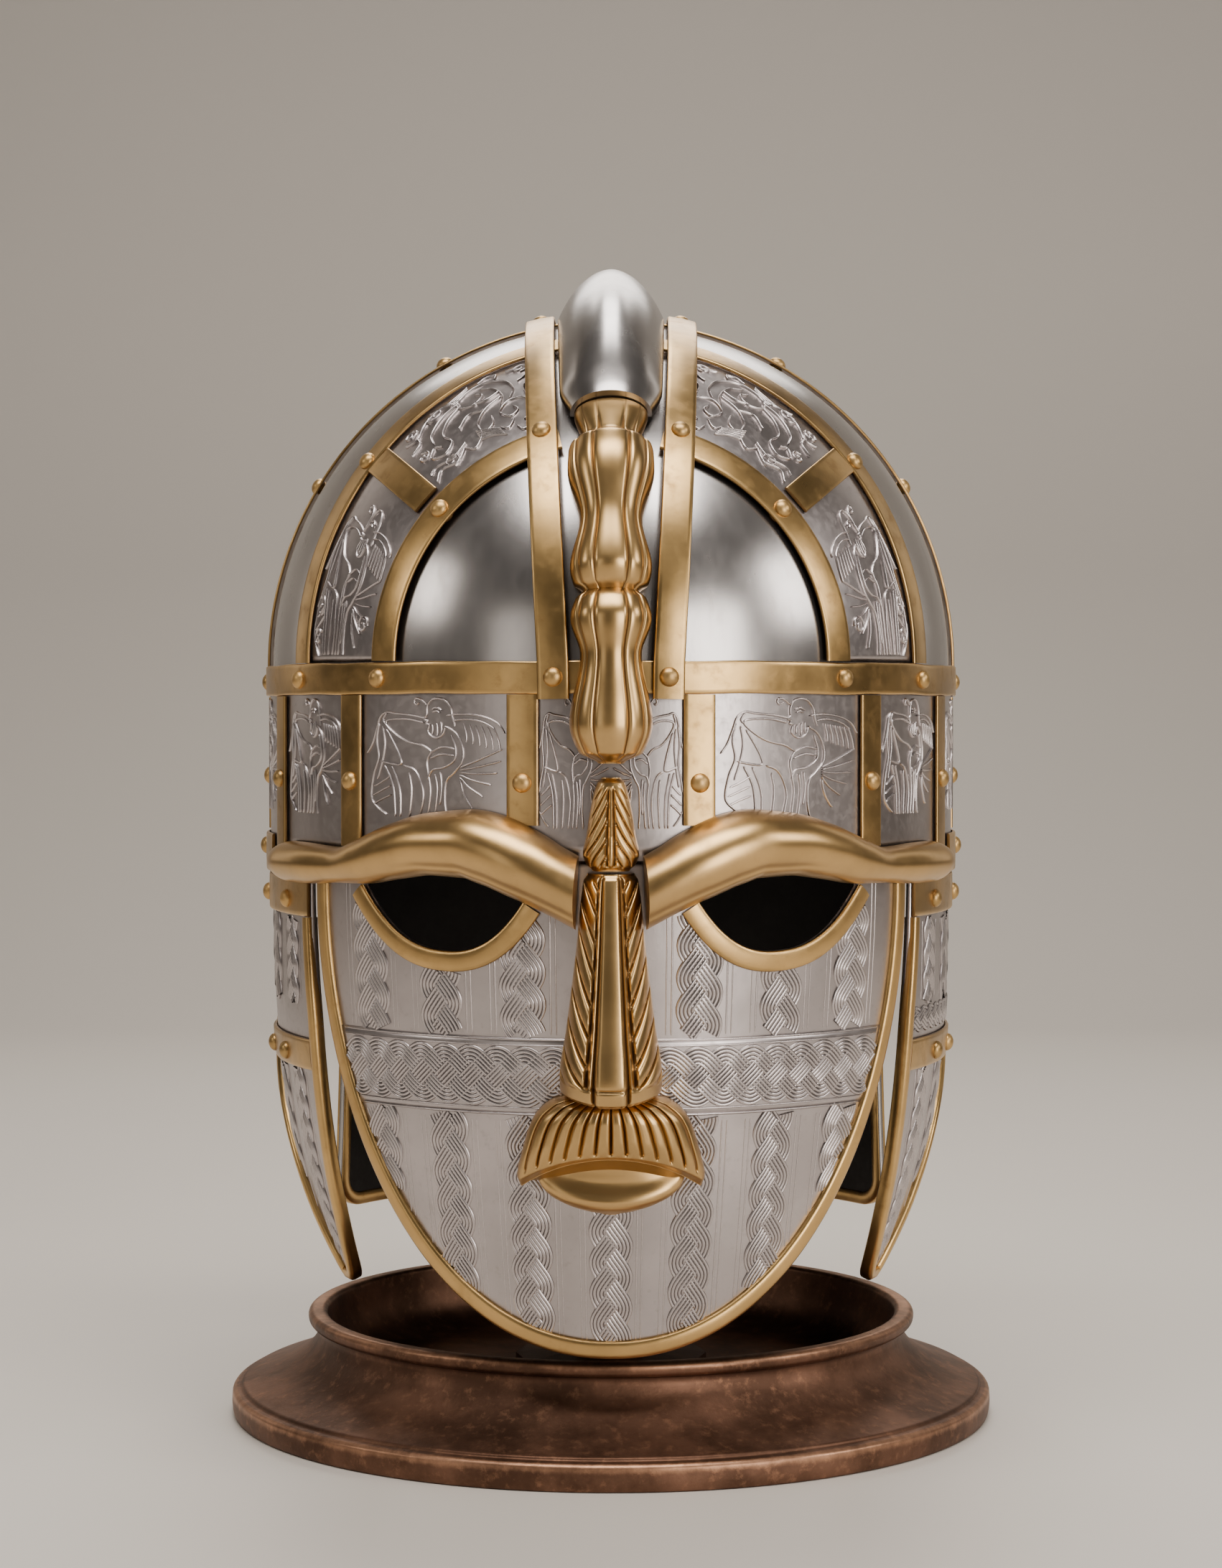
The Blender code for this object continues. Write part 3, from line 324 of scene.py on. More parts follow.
def mask_point(x, z):
    """The place on the mask straight in front of x and z."""
    scale = mask_scale(z)
    share = x / (CAP_HALF_WIDTH * scale)
    return Vector((x, -CAP_HALF_DEPTH * scale * math.sqrt(1.0 - share * share), z))


def guard_scale(z):
    """A cheek guard tucks in under the jaw."""
    share = max(0.0, (GUARD_TOP_Z - z) / GUARD_LENGTH)
    return 1.0 - GUARD_TUCK * share**3


def on_guard(point, lift=0.0):
    return on_wall(point, lift, guard_scale)


def neck_scale(z):
    """The neck guard flares a little towards its lower edge."""
    share = max(0.0, (GUARD_TOP_Z - z) / (GUARD_TOP_Z - NECK_GUARD_BOTTOM_Z))
    return 1.0 + NECK_GUARD_FLARE * share * share


def on_neck(point, lift=0.0):
    return on_wall(point, lift, neck_scale)


def round_wall(bearing, z):
    """A point on the cap's ellipse at a bearing in degrees."""
    angle = math.radians(bearing)
    return Vector((CAP_HALF_WIDTH * math.sin(angle), -CAP_HALF_DEPTH * math.cos(angle), z))


def dome_point(angle, y):
    """A point on the dome in the upright plane at y, at an angle in degrees over the +X side."""
    angle = math.radians(angle)
    share = math.sqrt(1.0 - (y / CAP_HALF_DEPTH) ** 2)
    x = CAP_HALF_WIDTH * share * math.cos(angle)
    return Vector((x, y, BROW_Z + DOME_RISE * share * math.sin(angle)))


def meridian_point(x, angle):
    """A point on the dome in the upright plane at x, at an angle in degrees over the face side."""
    angle = math.radians(angle)
    share = math.sqrt(1.0 - (x / CAP_HALF_WIDTH) ** 2)
    y = -CAP_HALF_DEPTH * share * math.cos(angle)
    return Vector((x, y, BROW_Z + DOME_RISE * share * math.sin(angle)))


def face_line_point(z):
    """A point on the cap's middle line over the face."""
    share = max(0.0, (z - BROW_Z) / DOME_RISE)
    return Vector((0.0, -CAP_HALF_DEPTH * math.sqrt(1.0 - share * share), z))


def stations(path, seat, closed=False):
    """The place, the sideways direction and the outward direction at each point of a path on a surface."""
    places = [seat(point) for point in path]
    found = []
    for i, place in enumerate(places):
        before = places[i - 1] if i or closed else place
        after = places[(i + 1) % len(places)] if closed or i + 1 < len(places) else place
        outward = (seat(path[i], MM) - place).normalized()
        along = (after - before).normalized()
        found.append((place, along.cross(outward).normalized(), outward))
    return found


def half_round(share):
    """Height of a half-round section at a share of its half width."""
    return math.sqrt(max(0.0, 1.0 - share * share))


def outer_arch_y(angle):
    """Distance of the outer arch from the middle of the helmet: it leans in towards the top."""
    return OUTER_ARCH_Y - OUTER_ARCH_LEAN * math.sin(math.radians(angle)) ** 2


def crest_meeting_angle(y):
    """The angle at which an upright plane at y meets the middle of a crest side strip."""
    x = CREST_STRIP_FOOT_X + CREST_STRIP_SPREAD * math.sqrt(1.0 - (y / CAP_HALF_DEPTH) ** 2)
    half_chord = CAP_HALF_WIDTH * math.sqrt(1.0 - (y / CAP_HALF_DEPTH) ** 2)
    return math.degrees(math.acos(x / half_chord))


def eyebrow_rows():
    """Each eyebrow section as x, z, width and height."""
    return [
        (
            mix(EYEBROW_INNER_X, EYEBROW_OUTER_X, reach),
            EYEBROW_INNER_Z + EYEBROW_RISE * rise,
            EYEBROW_WIDTH * width,
            EYEBROW_HEIGHT * height,
        )
        for reach, rise, width, height in EYEBROW_SECTIONS
    ]


def eyebrow_top(x):
    """Height of an eyebrow's upper edge over x."""
    rows = eyebrow_rows()
    for (x0, z0, width0, _), (x1, z1, width1, _) in zip(rows, rows[1:]):
        if x0 <= x <= x1:
            share = (x - x0) / (x1 - x0)
            return mix(z0 + width0 / 2, z1 + width1 / 2, share)
    return rows[-1][1]


def lower_strip_foot(bearing):
    """The eyebrow's upper edge or the lower band's, whichever the strip comes down to."""
    if bearing > EDGE_BAND_START:
        return CAP_EDGE_Z + EDGE_BAND_WIDTH + CLEARANCE
    x = CAP_HALF_WIDTH * math.sin(math.radians(bearing))
    beside = [eyebrow_top(x + side * STRIP_WIDTH / 2) for side in (-1, 0, 1)]
    return max(beside) + 3 * CLEARANCE


def mask_outline(inset, steps):
    """The mask's edge from temple to temple round the chin, as x and z pairs, drawn in by an inset."""
    half_width = MASK_HALF_WIDTH - inset
    drop = MASK_DROP - inset
    outline = []
    for share in spread(steps):
        angle = math.pi * (0.5 - share)
        x = half_width * math.copysign(abs(math.sin(angle)) ** (2 / MASK_ROUNDNESS), math.sin(angle))
        outline.append((x, MASK_SIDE_Z - drop * math.cos(angle)))
    return outline


def eye_edge(share, outset=0.0):
    """The lower edge of the +X eye opening at a share from its inner corner, moved out of it by an outset."""

    def edge(share):
        across = 2 * share - 1
        dip = EYE_DIP * (1.0 - abs(across) ** EYE_ROUNDNESS)
        return Vector((mix(EYE_INNER_X, EYE_OUTER_X, share), mix(EYE_INNER_Z, EYE_OUTER_Z, share) - dip))

    along = (edge(min(1.0, share + 0.01)) - edge(max(0.0, share - 0.01))).normalized()
    return edge(share) + Vector((along.y, -along.x)) * outset


def guard_z(down):
    return GUARD_TOP_Z - GUARD_LENGTH * down


def neck_edge(z):
    """How far a rounded lower corner draws the neck guard's side edge in, in degrees."""
    short = max(0.0, NECK_GUARD_CORNER - (z - NECK_GUARD_BOTTOM_Z))
    inset = NECK_GUARD_CORNER - math.sqrt(NECK_GUARD_CORNER**2 - min(short, NECK_GUARD_CORNER) ** 2)
    return math.degrees(inset / CAP_HALF_WIDTH)


def cut(target, cutter, operation="DIFFERENCE"):
    modifier = target.modifiers.new(cutter.name, "BOOLEAN")
    modifier.object = cutter
    modifier.operation = operation


def prism(name, outline, near, far):
    """A cutter: an outline in x and z, extruded along Y."""
    work = bmesh.new()
    face = work.faces.new([work.verts.new((x, near, z)) for x, z in outline])
    grown = bmesh.ops.extrude_face_region(work, geom=[face])
    for item in grown["geom"]:
        if isinstance(item, bmesh.types.BMVert):
            item.co.y = far
    bmesh.ops.recalc_face_normals(work, faces=work.faces[:])
    mesh = bpy.data.meshes.new(name)
    work.to_mesh(mesh)
    work.free()
    made = bpy.data.objects.new(name, mesh)
    bpy.context.scene.collection.objects.link(made)
    return made


def smooth_row(table, share):
    """A row of a table at a share of its first column, on a smooth line that never overshoots its rows."""
    last = len(table) - 2
    i = next((i for i in range(last + 1) if share <= table[i + 1][0]), last)
    first, second = table[i], table[i + 1]
    width = second[0] - first[0]
    local = (share - first[0]) / width

    def slope(at, column):
        if at in (0, len(table) - 1):
            return 0.0
        before, here, after = table[at - 1], table[at], table[at + 1]
        rise = (here[column] - before[column]) / (here[0] - before[0])
        fall = (after[column] - here[column]) / (after[0] - here[0])
        if rise * fall <= 0.0:
            return 0.0
        return 2.0 * rise * fall / (rise + fall)

    made = [share]
    for column in range(1, len(table[0])):
        a, b = first[column], second[column]
        m0, m1 = slope(i, column) * width, slope(i + 1, column) * width
        t2, t3 = local * local, local**3
        from_first = (2 * t3 - 3 * t2 + 1) * a + (t3 - 2 * t2 + local) * m0
        made.append(from_first + (3 * t2 - 2 * t3) * b + (t3 - t2) * m1)
    return made


def smoothstep(low, high, value):
    share = max(0.0, min(1.0, (value - low) / (high - low)))
    return share * share * (3.0 - 2.0 * share)


def finish(name):
    """A metal of the scene, kept apart by its name from the plain material of the solids."""
    return bpy.data.materials[f"{name}_looks"]


class Work:
    """A mesh in the making, with a value on each vertex for its wear and its painted shade: low values are
    painted dark as shade, high ones lighter as rubbed.
    """

    def __init__(self):
        self.mesh = bmesh.new()
        self.wear_and_shade = self.mesh.verts.layers.float.new("wear_and_shade")

    def vert(self, place, wear_and_shade=PLAIN_WEAR_AND_SHADE):
        made = self.mesh.verts.new(place)
        made[self.wear_and_shade] = wear_and_shade
        return made

    def rows(self, rows, closed_along=False, closed_across=False):
        """Faces between rows of vertices."""
        pairs = list(zip(rows, rows[1:]))
        if closed_along:
            pairs.append((rows[-1], rows[0]))
        for lower, upper in pairs:
            count = len(lower)
            for i in range(count if closed_across else count - 1):
                j = (i + 1) % count
                self.mesh.faces.new((lower[i], lower[j], upper[j], upper[i]))

    def fan(self, ring, middle):
        """Faces from a ring of vertices to one in its middle."""
        for vert, after in zip(ring, ring[1:] + ring[:1]):
            self.mesh.faces.new((vert, after, middle))

    def object(self, name, material, sharp=45.0, fix_normals=False):
        """The finished object, shaded smooth."""
        if fix_normals:
            bmesh.ops.recalc_face_normals(self.mesh, faces=self.mesh.faces[:])
        mesh = bpy.data.meshes.new(name)
        self.mesh.to_mesh(mesh)
        self.mesh.free()
        mesh.shade_smooth()
        mesh.set_sharp_from_angle(angle=math.radians(sharp))
        mesh.materials.append(finish(material))
        made = bpy.data.objects.new(name, mesh)
        bpy.context.scene.collection.objects.link(made)
        return made


def baked(made):
    """Turns an object's modifiers into its mesh."""
    bpy.context.view_layer.update()
    graph = bpy.context.evaluated_depsgraph_get()
    mesh = bpy.data.meshes.new_from_object(made.evaluated_get(graph), depsgraph=graph)
    made.modifiers.clear()
    made.data = mesh
    return made


def dressed(made, slot, *nodes):
    """Rides the piece on the helmet and lets it stand for its nodes. The slot it is given is not used."""
    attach(made, "root")
    if nodes:
        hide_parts(*nodes)
    return made


def mirror_rows(rows, axis):
    """The same rows on the other side of the middle."""
    turned = []
    for row in rows:
        new = []
        for place, wear_and_shade in row:
            place = place.copy()
            place[axis] = -place[axis]
            new.append((place, wear_and_shade))
        turned.append(new[::-1])
    return turned


def mirrored(*half):
    """A whole section from its half at -1 to 0 across. A row at 0 lies in the middle and comes once."""
    return (*half, *((-across, height, wear_and_shade) for across, height, wear_and_shade in reversed(half) if across))


# Sections: across from -1 to 1, height as a share of the thickness, wear and painted shade (low where the
# section meets the skin, painted dark as shade)
BAND_SECTION = mirrored(
    (-1.00, 0.00, 0.05),
    (-1.00, 0.55, 0.25),
    (-0.97, 0.85, 0.80),
    (-0.90, 1.00, 0.90),
    (-0.70, 1.02, 0.55),
    (-0.35, 1.06, 0.60),
    (0.00, 1.08, 0.62),
)
WIRE_SECTION = mirrored(
    # a full, rounded rim
    (-1.00, 0.00, 0.05),
    (-1.00, 0.45, 0.30),
    (-0.88, 0.80, 0.60),
    (-0.62, 0.98, 0.85),
    (-0.25, 1.08, 0.90),
)
EDGE_SECTION = mirrored(
    # a rim folded round a plate's edge
    (-0.80, 0.00, 0.50),
    (-1.00, 0.12, 0.60),
    (-1.00, 0.70, 0.60),
    (-0.88, 0.88, 0.75),
    (-0.62, 0.98, 0.90),
    (-0.25, 1.02, 0.92),
)
LINE_SECTION = mirrored(
    # a raised line
    (-1.0, -0.35, 0.0),
    (-0.5, 0.80, 0.8),
    (0.0, 1.00, 1.0),
)


def band_rows(path, width, seat, lift, thickness, closed=False, section=BAND_SECTION, waver=0.0):
    """Rows of points for a metal strip bent along a path, with eased edges and a slightly full face."""
    rows = []
    run = 0.0
    before = None
    for place, side, _ in stations(path, seat, closed):
        if before is not None:
            run += (place - before).length
        before = place
        edge = waver * (math.sin(run / (9.0 * MM)) + 0.6 * math.sin(run / (3.7 * MM) + 1.3))
        row = []
        for across, height, wear_and_shade in section:
            point = seat(place + side * (width / 2 * across + edge), lift + thickness * height)
            row.append((point, wear_and_shade))
        rows.append(row)
    return rows


def add_band(work, rows, closed=False):
    """A closed bar from rows of points."""
    made = [[work.vert(*point) for point in row] for row in rows]
    work.rows(made, closed_along=closed, closed_across=True)
    if not closed:
        work.mesh.faces.new(made[0][::-1])
        work.mesh.faces.new(made[-1])


def band(
    name, path, width, seat=on_cap, lift=STRIP_LIFT, thickness=STRIP_THICKNESS, closed=False,
    section=BAND_SECTION, mirror=None, waver=0.0,
):
    """One brass strip, and its mirror image in the same piece where an axis is given."""
    work = Work()
    rows = band_rows(path, width, seat, lift, thickness, closed, section, waver)
    add_band(work, rows, closed)
    if mirror is not None:
        add_band(work, mirror_rows(rows, mirror), closed)
    return work.object(name, "aged_brass", 60.0, fix_normals=True)


def folded_edge(name, path, width, seat, wall, thickness, mirror=None):
    """A brass rim folded round the edge of a plate of a given wall."""
    inside = wall + 0.5 * MM
    return band(
        name, path, width + 0.4 * MM, seat, -inside, inside + RIM_LIFT + thickness,
        section=EDGE_SECTION, mirror=mirror,
    )


def add_wall(made, thickness, offset=-1.0, even=True):
    """Gives a sheet a real thickness, outwards (offset 1) or inwards (offset -1) with an inside painted
    near-black: partly dark iron, partly painted shade.
    """
    wall = made.modifiers.new("wall", "SOLIDIFY")
    wall.thickness = thickness
    wall.offset = offset
    wall.use_even_offset = even
    if offset < 0:
        made.data.materials.append(finish("dark_iron_and_inner_shade"))
        wall.material_offset = 1


def skin(name, grid, thickness, material, closed=False, offset=1.0):
    """A grid of points as a plate with a real thickness."""
    work = Work()
    work.rows([[work.vert(point) for point in row] for row in grid], closed_along=closed)
    made = work.object(name, material)
    add_wall(made, thickness, offset)
    return made


def casting(name, path, half_widths, heights, seat, lift, shape, steps, material, mirror=None, leans=None):
    """A cast piece along a path. Its shape gives height, and wear and painted shade, at a share across and a
    share along.
    """
    rows = []
    placed = stations(path, seat)
    count = len(placed) - 1
    for i, ((place, side, outward), half_width, height) in enumerate(zip(placed, half_widths, heights)):
        row = []
        if leans:
            side = side + outward.cross(side) * leans[i]
        for step in spread(steps):
            share = -math.cos(math.pi * step)
            rise, wear_and_shade = shape(share, i / count)
            point = seat(place + side * (half_width * share), lift + height * rise)
            row.append((point, wear_and_shade))
        # The flat foot against the skin gets a low value, so it is painted dark as shade.
        for step in spread(4)[1:-1]:
            point = seat(place + side * (half_width * (1 - 2 * step)), lift)
            row.append((point, 0.1))
        rows.append(row)
    work = Work()
    add_band(work, rows)
    if mirror is not None:
        add_band(work, mirror_rows(rows, mirror))
    return work.object(name, material, 50.0, fix_normals=True)


def cast_down(
    name, table, rows, top_z, bottom_z, width, height, point_at, seat, lift, shape, steps, mirror=None
):
    """A gilt casting that runs down the middle line, on a smooth line through its table."""
    shares = [0.5 - 0.5 * math.cos(math.pi * share) for share in spread(rows)]
    found = [smooth_row(table, mix(share, even, 0.6)) for share, even in zip(shares, spread(rows))]
    path = [point_at(mix(top_z, bottom_z, row[0])) for row in found]
    half_widths = [width / 2 * row[1] for row in found]
    heights = [height * row[2] for row in found]
    return casting(name, path, half_widths, heights, seat, lift, shape, steps, "gilt_bronze", mirror)


# A robed figure with a raised arm, a cloak over it and a feathered wing, as strokes in millimetres
# across and up from the middle of its panel's upper edge
FIGURE = (
    # head and crest
    ((-0.7, -6.0), (-0.5, -3.2), (1.2, -1.4), (4.0, -1.6), (5.8, -3.8), (6.2, -6.2), (7.0, -9.0)),
    ((-0.7, -3.0), (-2.2, -1.6), (-3.8, -1.2), (-4.3, -2.2), (-3.6, -2.9), (-2.8, -2.4)),
    ((0.6, -4.3), (2.0, -3.8), (3.4, -4.5)),
    ((1.0, -5.1), (2.0, -4.7), (2.9, -5.2)),
    ((-0.7, -6.0), (-1.4, -7.1), (-0.5, -7.4), (-0.9, -8.2), (0.2, -8.6)),
    ((0.2, -8.6), (-0.4, -10.6), (1.4, -12.2), (3.4, -11.6), (4.4, -9.4)),
    ((1.0, -8.6), (0.9, -11.2)),
    ((2.2, -8.2), (2.3, -11.6)),
    ((3.3, -7.8), (3.4, -10.9)),
    # raised arm and hand
    (
        (-1.0, -6.8), (-5.0, -5.9), (-10.0, -5.4), (-12.5, -5.0),
        (-14.6, -6.4), (-15.8, -10.0), (-17.2, -14.0), (-18.8, -16.6),
    ),
    (
        (-1.5, -8.0), (-6.0, -7.0), (-11.5, -7.1), (-12.9, -8.2),
        (-10.2, -11.0), (-6.5, -13.2), (-2.2, -14.3), (0.6, -16.0),
    ),
    ((-12.6, -5.3), (-13.7, -7.2), (-12.9, -8.3)),
    # cloak over the arm
    (
        (-15.0, -8.2), (-15.8, -13.0), (-15.2, -18.0), (-16.8, -23.0),
        (-17.6, -29.0), (-15.5, -32.0), (-12.6, -34.0),
    ),
    ((-13.8, -9.0), (-13.2, -14.0), (-14.0, -19.0), (-15.4, -24.0)),
    ((-12.4, -10.0), (-10.2, -14.0), (-8.6, -17.4), (-8.2, -19.6), (-10.4, -19.7), (-14.6, -18.8)),
    ((-13.0, -20.2), (-10.6, -26.0), (-9.9, -34.5)),
    ((-10.8, -20.4), (-8.6, -27.0), (-8.4, -34.5)),
    ((-16.4, -26.0), (-13.4, -24.4), (-11.4, -23.0)),
    ((-16.9, -28.6), (-13.8, -27.0), (-11.4, -25.8)),
    ((-16.6, -31.0), (-14.0, -29.6), (-11.2, -28.4)),
    # body and robe
    (
        (4.4, -9.0), (7.2, -11.0), (9.0, -15.0), (8.8, -19.0),
        (6.6, -22.0), (4.6, -24.4), (4.2, -30.0), (4.8, -34.5),
    ),
    ((6.0, -11.5), (7.1, -15.0), (6.8, -18.4), (4.0, -20.5), (0.8, -21.3), (-0.4, -23.8)),
    ((0.6, -16.0), (-0.7, -19.0), (-0.2, -23.0), (0.3, -27.5), (-0.5, -34.5)),
    ((0.4, -16.3), (3.6, -14.8), (7.0, -15.4)),
    ((0.3, -18.0), (3.4, -16.8), (6.8, -17.2)),
    ((-7.2, -20.0), (-4.4, -21.2), (-2.6, -24.2), (-1.7, -28.5), (-2.7, -34.5)),
    ((-5.8, -22.0), (-5.1, -27.0), (-5.7, -34.5)),
    ((1.6, -22.4), (2.2, -27.0), (1.4, -34.5)),
    ((3.0, -21.8), (3.4, -26.0), (2.9, -31.0)),
    # wing
    ((4.8, -6.0), (9.0, -5.6), (14.0, -6.3), (17.8, -8.2), (19.6, -11.0)),
    ((6.6, -7.4), (10.0, -7.0), (14.0, -7.8), (17.0, -9.6)),
)
FEATHERS = tuple(
    ((9.2 + 1.5 * i, -8.2 - 0.25 * i), (9.9 + 1.6 * i, -11.0 - 0.3 * i), (10.0 + 1.7 * i, -13.4 - 0.5 * i))
    for i in range(6)
)
FEATHERS += tuple(
    ((8.4, -20.5 - 0.7 * i), (13.0 - 0.15 * i * i, -18.4 - 1.9 * i), (18.9 - 0.3 * i * i, -15.4 - 3.3 * i))
    for i in range(6)
)


def curl(x, y, size, turn=1):
    """A stroke that winds in on itself."""
    places = []
    for i in range(11):
        reach = 1 - i / 12
        places.append((x + turn * size * reach * math.cos(0.85 * i), y + size * reach * math.sin(0.85 * i)))
    return tuple(places)


CURLS = (
    curl(12.4, -25.0, 2.8),
    curl(-12.8, -27.6, 2.6, -1),
    curl(12.6, -31.2, 2.2, -1),
    curl(-13.4, -4.2, 2.4),
    curl(-2.6, -32.2, 2.0),
    curl(13.6, -3.4, 2.4, -1),
)
HATCHES = tuple(
    ((-15.6 + 0.7 * i, -11.6 - 0.2 * i), (-13.4 + 0.9 * i, -15.0 - 0.4 * i), (-12.6 + i, -18.4))
    for i in range(5)
)
HATCHES += tuple(
    ((10.4 + 0.9 * i, -19.6 - 0.4 * i), (12.2 + 0.9 * i, -17.0), (15.0 + 0.5 * i, -15.2))
    for i in range(4)
)

# Two scrolled beasts, one over the other, for the tall panels of the dome
BEASTS = (
    (
        (-13.0, -6.0), (-9.0, -3.0), (-4.0, -4.0), (-2.5, -8.0),
        (-6.0, -11.0), (-9.5, -9.0), (-8.0, -6.6), (-5.8, -7.6),
    ),
    (
        (-2.5, -8.0), (3.0, -6.0), (9.0, -7.5), (13.5, -12.0), (12.0, -17.5),
        (7.0, -19.0), (4.0, -15.6), (6.6, -13.0), (9.2, -14.6),
    ),
    ((-4.0, -10.2), (2.0, -9.0), (7.4, -10.4), (10.6, -13.0)),
    ((-11.5, -8.5), (-13.6, -10.6), (-12.2, -12.4)),
    ((-12.6, -5.6), (-15.4, -4.8), (-16.2, -7.2), (-14.2, -8.4)),
    ((1.0, -9.4), (-1.5, -14.0), (-6.0, -17.0), (-11.0, -17.4), (-14.4, -20.5), (-12.0, -23.0)),
    ((-1.5, -14.0), (0.4, -18.0), (-3.0, -21.4)),
    ((4.2, -9.4), (3.0, -12.4), (4.2, -15.4)),
    (
        (7.0, -19.0), (4.0, -23.0), (-1.0, -25.4), (-6.0, -24.6),
        (-8.6, -27.8), (-6.0, -31.0), (-3.0, -29.0), (-4.8, -27.2),
    ),
    ((9.6, -18.4), (8.4, -23.0), (4.0, -27.4), (-1.0, -28.4)),
    ((11.4, -18.0), (13.6, -22.0), (12.2, -27.0), (8.0, -30.4), (9.4, -33.6)),
    ((8.0, -30.4), (4.4, -30.8), (2.6, -34.0)),
    ((-12.0, -23.0), (-14.6, -26.4), (-12.8, -31.0), (-15.4, -34.0)),
    ((-10.2, -22.0), (-12.2, -26.6), (-10.4, -31.6), (-11.6, -34.4)),
    ((-6.0, -13.2), (-9.0, -13.6), (-10.8, -15.4)),
    ((6.0, -4.6), (9.0, -2.0), (13.0, -3.0), (14.6, -6.4)),
    ((-4.6, -1.8), (-1.0, -3.6), (3.0, -3.2), (5.4, -1.0)),
    ((12.6, -9.2), (15.4, -8.6), (16.4, -11.0), (14.8, -12.8)),
)


def strand_section(cords):
    """Across one strand of a plait: raised cords with valleys between them that are painted dark as shade."""
    half = 1.0 / cords
    section = [(-1.0, -0.7, 0.0)]
    for i in range(cords):
        middle = half * (2 * i + 1) - 1.0
        section += [(middle - 0.5 * half, 0.85, 0.75), (middle, 1.0, 1.0), (middle + 0.5 * half, 0.85, 0.75)]
        section.append((middle + half, 0.12 if i < cords - 1 else -0.8, 0.0))
    return section


def rib(work, line, chart, width, height, section=LINE_SECTION, rises=None):
    """A raised rib along a line of (along, across) places in millimetres on a chart of a surface."""
    rows = []
    last = len(line) - 1
    for i, (s, u) in enumerate(line):
        before, after = line[max(0, i - 1)], line[min(last, i + 1)]
        ds, du = after[0] - before[0], after[1] - before[1]
        length = math.hypot(ds, du) or 1.0
        ns, nu = -du / length, ds / length
        base = rises[i] if rises else 0.0
        taper = 1.0 if rises or 0 < i < last else 0.4
        row = []
        for share, rise, wear_and_shade in section:
            offset = width / 2 * share * taper
            place = chart(s + ns * offset, u + nu * offset, base + height * rise)
            row.append(work.vert(place, wear_and_shade))
        rows.append(row)
    work.rows(rows)


def curved(points, step=0.55):
    """A smooth line through points, in short steps."""

    def between(a, b, c, d, t):
        bend = (c - a) * t + (2 * a - 5 * b + 4 * c - d) * t * t + (3 * b - a - 3 * c + d) * t**3
        return 0.5 * (2 * b + bend)

    if len(points) == 2:
        points = (points[0], tuple((a + b) / 2 for a, b in zip(*points)), points[1])
    ends = [tuple(2 * a - b for a, b in zip(points[0], points[1]))]
    ends += [*points, tuple(2 * a - b for a, b in zip(points[-1], points[-2]))]
    line = []
    for p0, p1, p2, p3 in zip(ends, ends[1:], ends[2:], ends[3:]):
        count = max(2, round(math.dist(p1, p2) / step))
        for i in range(count):
            line.append(tuple(between(*values, i / count) for values in zip(p0, p1, p2, p3)))
    line.append(tuple(points[-1]))
    return line


def figure(work, strokes, chart, keep, scale_across, scale_up, flip=1, middle=0.0, width=0.80, height=0.60):
    """Draws strokes as raised ribs on a panel's chart. Keep says which places are on the panel."""
    for stroke in strokes:
        line = [(-y * scale_up, middle + flip * x * scale_across) for x, y in curved(stroke)]
        if flip < 0:
            line = line[::-1]
        runs = [[]]
        for place in line:
            if keep(*place):
                runs[-1].append(place)
            elif runs[-1]:
                runs.append([])
        for run in runs:
            if len(run) > 2:
                rib(work, run, chart, width, height)


def plait(work, chart, start, end, width, keep, strands=3, turn=27.0, strand_width=5.8, cords=5, shift=0.0):
    """A flat plait of corded strands that pass over and under, along a chart."""
    swing = (width - strand_width) / 2
    section = strand_section(cords)
    count = max(2, round((end - start) / PLAIT_STEP))
    for strand in range(strands):
        phase = math.tau * strand / strands + shift
        line, rises = [], []
        for i in range(count + 1):
            s = mix(start, end, i / count)
            angle = math.tau * s / turn + phase
            over = math.sin(2 * angle) if strands == 3 else math.cos(4 * angle) * math.cos(angle)
            over = math.tanh(PLAIT_SNAP * over)
            u = swing * (math.sin(angle) - 0.06 * math.sin(3 * angle)) / 1.03
            if keep(s, u):
                line.append((s, u))
                rises.append(PLAIT_LIFT + PLAIT_WEAVE * over)
                continue
            if len(line) > 2:
                rib(work, line, chart, strand_width, PLAIT_CORD_HEIGHT, section, rises)
            line, rises = [], []
        if len(line) > 2:
            rib(work, line, chart, strand_width, PLAIT_CORD_HEIGHT, section, rises)


def kept_line(u, start, end, steps, keep):
    """The places along a chart at u from its start to its end that a panel keeps."""
    return [(s, u) for s in (mix(start, end, share) for share in spread(steps)) if keep(s, u)]


def wall_chart(seat, bearing, top_z, lift):
    """A chart down a wall in millimetres: along is down from a height, across is round from a bearing."""

    def chart(s, u, rise):
        place = round_wall(bearing + math.degrees(u / CHART_REACH), top_z - s * MM)
        return seat(place, lift + rise * MM)

    return chart


def level_chart(seat, middle_z, lift):
    """A chart round a wall in millimetres: along is round from the face, across is up from a height."""

    def chart(s, u, rise):
        place = round_wall(math.degrees(s / CHART_REACH), middle_z + u * MM)
        return seat(place, lift + rise * MM)

    return chart


